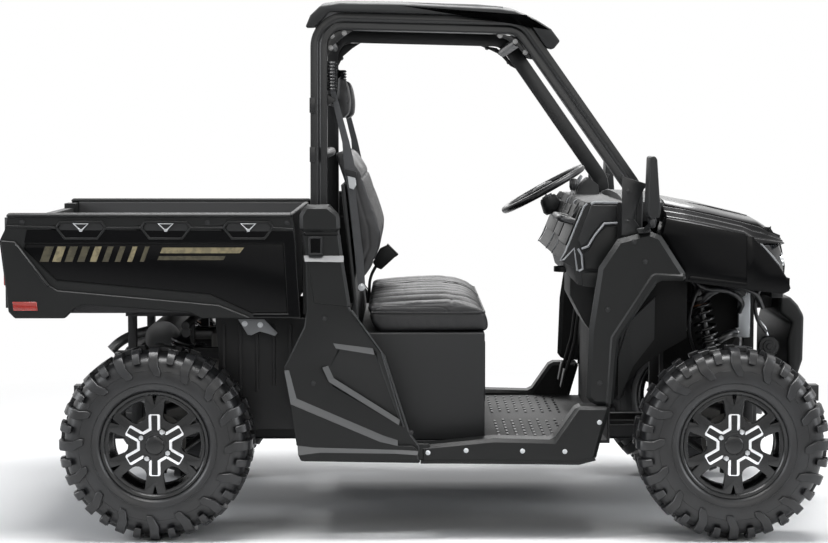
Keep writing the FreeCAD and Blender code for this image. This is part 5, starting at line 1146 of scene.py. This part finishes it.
for word, y_low, y_high in (("near", -0.432, -0.228), ("far", 0.270, 0.468)):
    pad = sewn_pad(word + "_headrest", HEADREST_SIDE, (y_low, y_high), 0.014, 0.006, lambda v: v.normal.x < -0.5,
                   0.008)
    grooved(pad, lambda co, normal: dip(min(abs(co.y - y_low - 0.028), abs(co.y - y_high + 0.028)), 0.004, 0.004)
            if normal.x > 0.3 else 0.0)
    dressed(pad, "chassis", "headrests")

# Moulded base with a stepped front, pan screws along its edge and lightening panels
softened("seat_base", dark_plastic, 0.005, 3)
base_bits = bolts([(1000, 712), (1110, 712), (1160, 712), (850, 712)], -0.6005, 0.0065, 0.0035, 14)
base_bits += [block("base_panel", [(1164, 690), (1174, 690), (1174, 470), (1164, 470)], y - 0.11, y + 0.11, 0.004, 3,
                    dark_plastic) for y in (-0.45, -0.15, 0.15, 0.45)]
base_bits += [
    plate("base_side", [(820, 690), (1130, 690), (1130, 450), (905, 450)], -0.602, 0.006, 0.003, 3, dark_plastic),
    # The ledge and the curve are in paler plastic: painted highlights on the base's chamfers
    facet_strip("base_ledge", [(812, 640), (992, 616), (1006, 604), (1012, 560)],
                [(806, 662), (998, 638), (1020, 612), (1028, 560)], -0.616, -0.6015),
    facet_strip("base_curve", [(884, 404), (906, 344), (940, 322), (1130, 318)],
                [(892, 408), (914, 352), (944, 332), (1130, 328)], -0.610, -0.6015)]
dressed(joined("seat_base_fittings", base_bits), "chassis")

# ---- Belts ----
# Grey three-point webbing from a retractor in a bellows on the rear pillar, hung down the seat's
# side, with a plated tongue and a dark buckle on a stalk between the seats.
strap = slab("belt_strap", measured((615, 1600), (634, 1600), (686, 1408), (710, 1300), (706, 1240), (734, 1010),
                                    (742, 880), (716, 876), (704, 1010), (680, 1240), (668, 1300), (660, 1408)),
             -0.6135, -0.6117)
belt_bits = [
    coloured(strap, belt_webbing), bolt_head(spot(728, 890, -0.6135), 0.009, 0.006),
    plate("belt_tongue", [(678, 1290), (706, 1282), (710, 1256), (700, 1240), (684, 1246)], -0.6165, 0.003, 0.0008, 1,
          zinc),
    plate("tongue_grip", [(668, 1314), (712, 1304), (710, 1282), (672, 1290)], -0.6185, 0.008, 0.002, 2,
          dark_plastic)]
for k in range(9):
    fold = lathe("bellows", [(-0.0052, 0.010), (-0.0052, 0.0150), (0.0, 0.0185), (0.0052, 0.0150), (0.0052, 0.010)],
                 (0, 0, 0), 1, 20)
    fold.data.transform(Matrix.Translation(spot(624, 1690 - 11.5 * k, -0.6125)) @ Matrix.Rotation(math.pi / 2, 4, "X"))
    belt_bits.append(coloured(fold, soft_rubber))
fitted("seat_belts_dressed", belt_bits, stands_for="seat_belts")
buckles = []
for y in (0.118, 0.150):
    buckles += [
        wire("buckle_stalk", [spot(742, 800, y), spot(748, 870, y), spot(774, 925, y)], 0.006, soft_rubber,
             curved=True),
        block("buckle", [(757, 930), (770, 912), (790, 903), (850, 958), (812, 998), (784, 984)], y - 0.012,
              y + 0.012, 0.004, 3, dark_plastic),
        block("button", [(804, 988), (816, 1004), (858, 962), (846, 952)], y - 0.009, y + 0.009, 0.002, 2,
              panel_plastic)]
dressed(joined("belt_buckles", buckles), "chassis")

# ---- Dash, column and controls ----
# A moulded dash with a pale edge trim that paints the highlight along its edges, a glove box lid, a row of
# rocker switches and a gauge under a hood. The wheel's grip is moulded rubber on a three-spoke steel armature over a
# grey column.


def spindle(name, start, end, section, finish, ring=24):
    """A closed round form about the line between two points, from (share along it, radius)."""
    run = Vector(end) - Vector(start)
    turned_to = run.to_track_quat("Z", "Y")
    turns = [2 * math.pi * k / ring for k in range(ring)]
    rings = [[Vector(start) + turned_to @ Vector((r * math.cos(turn), r * math.sin(turn), run.length * share))
              for share, r in section] for turn in turns]
    return coloured(smooth(skinned(name, rings, True), 42), finish)


# Pale trim for the gauge's ring and the switch lamps, and along the dash's edges as a painted highlight
pale_and_painted_highlight_trim = painted_metal("pale_satin_and_painted_highlight_trim", "#8f9194", 0.32)
spring_enamel = painted_metal("black_spring_enamel", "#0d0d0e", 0.22)
orange_enamel = painted_metal("orange_enamel", "#7a4a28", 0.35)
mirror_glass = bare_metal("mirror_glass", "#c9ced2", 0.03, 3.0)
smoked_lens = gloss_plastic("smoked_polycarbonate", "#101113")
chrome = bare_metal("bright_reflector", "#dfe2e4", 0.12, 20.0)

softened("dashboard", dark_plastic, 0.005, 3)
smooth(softened("steering_column", grey_steel), 40)
bits = [block("glove_lid", [(1521, 1172), (1465, 1036), (1459, 1039), (1515, 1176)], -0.575, -0.215, 0.004, 3,
              panel_plastic)]
bits += [block("dash_face", [(1518, 1166), (1470, 1048), (1465, 1050), (1513, 1169)], *span, 0.004, 3, panel_plastic)
         for span in ((-0.155, 0.10), (0.14, 0.58))]
for k in range(6):
    y = -0.135 + 0.040 * k
    bits += [block("rocker_switch", [(1509, 1140), (1498, 1113), (1490, 1116), (1500, 1143)], y, y + 0.026, 0.002, 2,
                   soft_rubber),
             block("switch_lamp", [(1503, 1139), (1501, 1134), (1499.5, 1134.6), (1501.5, 1139.6)], y + 0.008,
                   y + 0.018, 0.0003, 1, pale_and_painted_highlight_trim)]
bits += [side_wire("dash_trim", [(1535, 1190), (1523, 1180), (1456, 1016), (1438, 988), (1452, 990), (1488, 1030),
                                 (1500, 950)], y, 0.0035, pale_and_painted_highlight_trim) for y in (-0.625, -0.19, 0.12, 0.625)]
bits += [spindle("vent", spot(1530, 1150, y), spot(1502, 1166, y),
                 [(0.0, 0.0), (0.0, 0.040), (0.8, 0.040), (1.0, 0.036), (1.0, 0.030), (0.75, 0.028), (0.75, 0.0)],
                 dark_plastic, 32) for y in (-0.50, 0.54)]
dial_at = Vector(spot(1580, 1230, 0.36))
dial_way = Vector((-0.86, 0, 0.5))
bits += [
    wire("grab_bar", [spot(1504, 1120, -0.56), spot(1462, 1130, -0.56), spot(1446, 1134, -0.53),
                      spot(1446, 1134, -0.27), spot(1462, 1130, -0.24), spot(1504, 1120, -0.24)], 0.0125,
         soft_rubber, 4),
    spindle("gauge", dial_at, dial_at + dial_way * 0.010,
            [(0.0, 0.0), (0.0, 0.040), (1.0, 0.040), (1.0, 0.036), (0.6, 0.034), (0.6, 0.0)], pale_and_painted_highlight_trim, 40),
    spindle("dial_face", dial_at + dial_way * 0.0050, dial_at + dial_way * 0.0075,
            [(0.0, 0.0), (0.0, 0.0335), (1.0, 0.0335), (1.0, 0.0)], smoked_lens, 40)]
# The dash's right flank: raised facets with pale borders that paint their edges' highlight, over a darker pocket
bits += [
    plate("dash_flank", [(1546, 1184), (1640, 1184), (1640, 1128), (1588, 1126), (1556, 1086), (1530, 1044),
                         (1512, 1040), (1500, 1062), (1530, 1140)], -0.6425, 0.010, 0.004, 2, dark_plastic),
    plate("dash_pocket", [(1566, 1076), (1600, 1108), (1640, 1110), (1640, 1000), (1596, 958), (1530, 958),
                          (1520, 1010), (1544, 1030)], -0.6405, 0.008, 0.003, 2, panel_plastic),
    plate("knee_panel", [(1512, 944), (1590, 944), (1606, 900), (1580, 888), (1520, 896)], -0.640, 0.008, 0.003, 2,
          panel_plastic)]
bits += [side_wire("pale_border", points, -0.644, 0.0042, pale_and_painted_highlight_trim) for points in (
    [(1640, 1122), (1594, 1120), (1562, 1080), (1536, 1038), (1514, 1030)],
    [(1500, 1030), (1514, 1008), (1518, 958), (1504, 950)], [(1546, 1189), (1560, 1196), (1640, 1194)])]
bits += [
    wire("range_lever", [spot(1536, 1110, 0.10), spot(1530, 1160, 0.10), spot(1536, 1200, 0.105),
                         spot(1541, 1226, 0.108)], 0.006, dull_steel, curved=True),
    spindle("lever_knob", spot(1540, 1215, 0.107), spot(1544, 1262, 0.11),
            [(0.0, 0.0), (0.0, 0.010), (0.25, 0.0145), (0.75, 0.0165), (0.95, 0.012), (1.0, 0.0)], soft_rubber, 20),
    spindle("lever_boot", spot(1534, 1095, 0.10), spot(1535, 1140, 0.10),
            [(0.0, 0.0), (0.0, 0.036), (0.3, 0.032), (0.35, 0.026), (0.6, 0.024), (0.65, 0.016), (1.0, 0.009),
             (1.0, 0.0)], soft_rubber, 20),
    spindle("column_shroud", spot(1458, 1180, 0.36), spot(1486, 1120, 0.36),
            [(0.0, 0.0), (0.0, 0.030), (0.15, 0.036), (0.8, 0.042), (1.0, 0.034), (1.0, 0.0)], dark_plastic, 28),
    wire("turn_stalk", [spot(1464, 1168, 0.36), spot(1462, 1176, 0.43), spot(1461, 1182, 0.485)], 0.0055,
         soft_rubber),
    spindle("cup_holder", spot(1500, 905, -0.02), spot(1500, 925, -0.02),
            [(0.0, 0.0), (0.0, 0.042), (1.0, 0.042), (1.0, 0.036), (0.3, 0.035), (0.3, 0.0)], dark_plastic, 28)]
for y, middle in ((0.30, 455), (0.44, 470)):
    bits += [block("pedal", [(1508, middle - 40), (1522, middle + 34), (1531, middle + 32), (1517, middle - 42)],
                   y - 0.03, y + 0.03, 0.003, 2, soft_rubber),
             side_wire("pedal_arm", [(1527, middle), (1566, middle + 140), (1580, middle + 260)], y, 0.007,
                       chassis_steel, 3)]
dressed(joined("dash_fittings", bits), "chassis")

# Steering wheel, built flat and then laid on the tilted column
WHEEL_CENTRE = (0.46781, 0.36, 1.21198)
bpy.ops.mesh.primitive_torus_add(major_radius=0.175, minor_radius=0.0135, major_segments=96, minor_segments=16)
parts = [coloured(all_smooth(keep_mesh(bpy.context.object)), soft_rubber)]
for angle in (90, 210, 330):
    spoke = rounded(slab("spoke", [(0.030, -0.006), (0.080, -0.010), (0.168, -0.003), (0.168, 0.004),
                                   (0.080, -0.002), (0.030, 0.008)], -0.014, 0.014), 0.0025)
    without(spoke, slab("slot", [(0.095, -0.02), (0.150, -0.02), (0.150, 0.02), (0.095, 0.02)], -0.005, 0.005))
    joint = spindle("grip_joint", (0.150, 0, 0), (0.172, 0, 0), [(0.0, 0.0), (0.0, 0.006), (1.0, 0.014), (1.0, 0.0)],
                    soft_rubber, 16)
    for piece in (coloured(spoke, black_steel), joint):
        piece.data.transform(Matrix.Rotation(math.radians(angle), 4, "Z"))
        parts.append(piece)
parts += [
    spindle("hub_pad", (0, 0, -0.018), (0, 0, 0.016),
            [(0.0, 0.0), (0.0, 0.030), (0.5, 0.046), (0.85, 0.046), (1.0, 0.038), (1.0, 0.0)], dark_plastic, 32),
    spindle("hub_button", (0, 0, 0.014), (0, 0, 0.0195),
            [(0.0, 0.0), (0.0, 0.026), (0.6, 0.026), (1.0, 0.020), (1.0, 0.0)], soft_rubber, 32)]
wheel_piece = joined("steering_wheel_dressed", parts)
wheel_piece.data.transform(Matrix.Translation(WHEEL_CENTRE) @ Matrix.Rotation(math.radians(-29), 4, "Y"))
dressed(wheel_piece, "steering_wheel", "steering_wheel")

# ---- Mirrors and lamps ----
# Slim folding mirrors on ball-ended stalks, silvered glass to the rear; smoked headlamps in the
# hood's corners with two bright bowls each, behind a moulded lens.
fitted("folding_mirrors", [
    block("mirror_head", [(1731, 1358), (1738, 1363), (1748, 1362), (1755, 1352), (1768, 1168), (1763, 1150),
                          (1731, 1150), (1724, 1166)], -0.868, -0.742, 0.009, 4, dark_plastic, 25),
    wire("mirror_stalk", [(0.7735, -0.805, 1.155), (0.772, -0.780, 1.128), (0.754, -0.735, 1.099)], 0.008,
         black_steel, curved=True),
    plate("mirror_base", [(1700, 1106), (1745, 1112), (1752, 1094), (1706, 1088)], -0.738, 0.030, 0.004, 3,
          dark_plastic),
    block("mirror_glass", [(1736, 1346), (1734.6, 1348), (1728.6, 1172), (1731, 1172)], -0.860, -0.750, 0.001, 1,
          mirror_glass),
    spindle("mirror_boot", spot(1745, 1150, -0.795), spot(1752, 1118, -0.765),
            [(0.0, 0.0), (0.0, 0.013), (0.5, 0.016), (1.0, 0.012), (1.0, 0.0)], soft_rubber, 20)],
    stands_for="side_mirrors")

lens_rings = [[spot(x, z, y) for x, z in points] for y, points in (
    (-0.409, [(2143, 1045), (2256, 1045), (2265, 998), (2259, 925), (2163, 934)]),
    (-0.530, [(2140, 1045), (2232, 1045), (2250, 998), (2254, 925), (2163, 934)]),
    (-0.634, [(2134, 1045), (2162, 1037), (2200, 984), (2240, 926), (2163, 934)]))]
bowls = [coloured(rounded(skinned("lens_body", lens_rings, False), 0.004, 3, 20), smoked_lens)]
for y, x in ((-0.455, 1.2855), (-0.535, 1.2745)):
    bowls += [spindle("lamp_bowl", (x - 0.012, y, 0.975), (x + 0.0025, y, 0.975),
                      [(0.0, 0.0), (0.0, 0.030), (1.0, 0.030), (1.0, 0.026), (0.55, 0.018), (0.4, 0.0)], chrome, 32),
              spindle("lamp_lens", (x - 0.006, y, 0.975), (x + 0.002, y, 0.975),
                      [(0.0, 0.0), (0.0, 0.015), (0.7, 0.013), (1.0, 0.006), (1.0, 0.0)], smoked_lens, 24)]
bowls.append(block("lamp_sliver", [(2150, 1049), (2160, 1046), (2200, 1004), (2226, 970), (2221, 969), (2184, 1012)],
                   -0.6352, -0.628, 0.0006, 1, chrome))
fitted("headlamp_bowls", bowls, stands_for="headlamps")

# ---- Springs, cooler and hoses in the wheel wells ----
# Coil-overs with black springs and a preload ring, a finned cooler in a plated shroud, a disc horn
# and rubber hoses, all on the chassis behind the front wheels.


def helix(name, start, end, radius, wire_radius, turns, finish):
    """A coil spring about the line between two points, its end turns closed up."""
    run = end - start
    turned_to = run.to_track_quat("Z", "Y")
    count = int(turns * 20)
    points = []
    for k in range(count + 1):
        share = k / count
        eased = share - 0.02 * math.sin(4 * math.pi * share)
        angle = 2 * math.pi * turns * share
        points.append(start + turned_to @ Vector((radius * math.cos(angle), radius * math.sin(angle),
                                                  run.length * eased)))
    return wire(name, points, wire_radius, finish, 2)


DAMPER = [(0.0, 0.0), (0.0, 0.011), (0.06, 0.011), (0.06, 0.030), (0.08, 0.043), (0.105, 0.045), (0.115, 0.043),
          (0.115, 0.024), (0.52, 0.024), (0.52, 0.012), (0.80, 0.012), (0.80, 0.026), (0.835, 0.045), (0.86, 0.045),
          (0.875, 0.030), (0.93, 0.018), (1.0, 0.014), (1.0, 0.0)]
for word, foot, top, coil, turns in (("front", (1.0725, -0.4382, 0.4736), (0.9805, -0.4029, 0.8967), 0.0375, 12),
                                     ("rear", (-0.9725, -0.4382, 0.4736), (-0.8907, -0.4382, 0.7115), 0.0360, 8)):
    foot, top = Vector(foot), Vector(top)
    way = top - foot
    across, along = Vector((0, 0.023, 0)), Vector((1, 0, 0))
    fitted("coil_over_" + word, [
        spindle("damper", foot, top, DAMPER, black_steel, 28),
        helix("spring", foot + way * 0.125, foot + way * 0.825, coil, 0.0054, turns, spring_enamel),
        spindle("preload_ring", foot + way * 0.775, foot + way * 0.80,
                [(0.0, 0.022), (0.0, 0.034), (1.0, 0.034), (1.0, 0.022)], orange_enamel),
        round_bar("eye", top - across, top + across, 0.017, soft_rubber),
        round_bar("eye", foot - along * 0.024, foot + along * 0.024, 0.016, soft_rubber),
        round_bar("pin", foot - along * 0.078, foot + along * 0.078, 0.008, zinc, 14)],
        stands_for="shock_absorbers")


def finned(name, colour, pitch=0.0032):
    """Brazed aluminium cooler fins between flat tubes, the colour darkened to a quarter between the fins as painted
    shade.
    """
    made, tree, shader, place = new_material(name)
    apart = put(tree, "ShaderNodeSeparateXYZ", {0: place})
    saw = put(tree, "ShaderNodeMath", {0: apart.outputs["Z"], 1: pitch}, operation="PINGPONG").outputs[0]
    # Painted shade: the colour falls to a quarter in the gaps between fins
    shade = ranged(tree, saw, 0.0, 1.0, 0.0, pitch)
    feed(shader, {"Base Color": two_tone(tree, shade, linear(colour, 0.25), linear(colour)), "Metallic": 0.8,
                  "Roughness": 0.45, "Normal": bumped(tree, saw, 0.6, 1.0)})
    return made


cooler_fins = finned("aluminium_cooler_fins", "#8c8e90")
cast_tank = bare_metal("cast_cooler_tank", "#aeb1b4", 0.38, 120.0)
softened("radiator", cooler_fins, 0.002, 2, slot="cooler_alloy")
low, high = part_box("radiator")
well = [boxed("side_tank", (low.x - 0.004, high.x + 0.004), span, (low.z - 0.004, high.z + 0.004), 0.004, 3, finish)
        for span, finish in (((low.y - 0.018, low.y + 0.006), cast_tank),
                             ((high.y - 0.006, high.y + 0.018), cooler_fins))]
well += [
    spindle("horn", (1.2625, -0.372, 0.650), (1.2625, -0.338, 0.650),
            [(0.0, 0.0), (0.0, 0.010), (0.10, 0.012), (0.10, 0.022), (0.20, 0.024), (0.20, 0.036), (0.4, 0.040),
             (0.7, 0.040), (1.0, 0.030), (1.0, 0.0)], black_steel, 32),
    wire("horn_bracket", [(1.2625, -0.345, 0.680), (1.250, -0.34, 0.72), (1.232, -0.33, 0.742)], 0.005, zinc, 2),
    block("coolant_bottle", [(2050, 930), (2120, 926), (2126, 862), (2056, 866)], -0.47, -0.39, 0.010, 3,
          liner_plastic)]
# Each hose with a band clamp at its first end: places along, up and across
for radius, points in (
        (0.010, [(1925, 930, -0.50), (1960, 885, -0.52), (2060, 866, -0.50), (2112, 830, -0.46), (2124, 780, -0.36)]),
        (0.016, [(2140, 846, -0.36), (2090, 872, -0.42), (2020, 868, -0.45), (1968, 820, -0.43), (1930, 740, -0.36),
                 (1900, 660, -0.28)]),
        (0.015, [(2118, 700, -0.33), (2070, 690, -0.38), (2000, 640, -0.36), (1950, 560, -0.30)]),
        (0.0055, [(1975, 900, -0.46), (1945, 850, -0.48), (1925, 760, -0.46), (1950, 640, -0.42), (2000, 560, -0.40),
                  (2030, 480, -0.42)]),
        (0.008, [(2000, 896, -0.44), (2080, 884, -0.49), (2160, 856, -0.48), (2200, 800, -0.42)]),
        (0.007, [(2200, 880, -0.40), (2170, 820, -0.44), (2180, 760, -0.42), (2220, 706, -0.38)])):
    x, z, y = points[0]
    well += [wire("hose", [spot(*point) for point in points], radius, soft_rubber, curved=True),
             spindle("hose_band", spot(x - 4, z, y), spot(x + 8, z, y),
                     [(0.0, radius * 0.8), (0.0, radius * 1.18), (1.0, radius * 1.18), (1.0, radius * 0.8)], zinc, 20)]
dressed(joined("front_well_fittings", well), "chassis")

# Rear well: ribs on the liner, grey bed brackets with their bolts, and the muffler's tail pipe
low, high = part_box("inner_fenders")
rear_bits = []
for k in range(6):
    x = low.x + 0.03 + (high.x - low.x - 0.06) * k / 5
    rear_bits.append(boxed("liner_rib", (x - 0.006, x + 0.006), (low.y - 0.006, low.y + 0.004),
                           (0.46 + 0.02 * k, 0.745), 0.002, 2, liner_plastic))
rear_bits.append(plate("bed_bracket", [(282, 772), (376, 772), (424, 722), (414, 712), (360, 728), (330, 714),
                                       (316, 716)], -0.58, 0.006, 0.002, 2, grey_steel))
rear_bits += bolts([(306, 756), (362, 752)], -0.5805, 0.007, 0.005)
fitted("rear_well_fittings", rear_bits)
tail = wire("tail_pipe", [spot(-90, 690, -0.16), spot(-150, 674, -0.19), spot(-196, 650, -0.215),
                          spot(-226, 622, -0.225)], 0.019, dull_steel, 4, curved=True)
dressed(tail, "chassis")

# Floor: raised treads in both footwells, in staggered rows
treads = []
for y_low in (-0.60, 0.10):
    for row in range(9):
        x = spot(1226 + 33 * row, 0, 0)[0]
        for k in range(7):
            y = y_low + 0.5 * (k + 0.5) / 7 + (0.018 if row % 2 else -0.018)
            treads.append(slab("tread", [(x - 0.005, 0.3385), (x + 0.005, 0.3385), (x + 0.005, 0.3435),
                                         (x - 0.005, 0.3435)], y - 0.020, y + 0.020))
treads = coloured(rounded(joined("floor_treads", treads), 0.0012, 1), soft_rubber)
dressed(treads, "chassis")
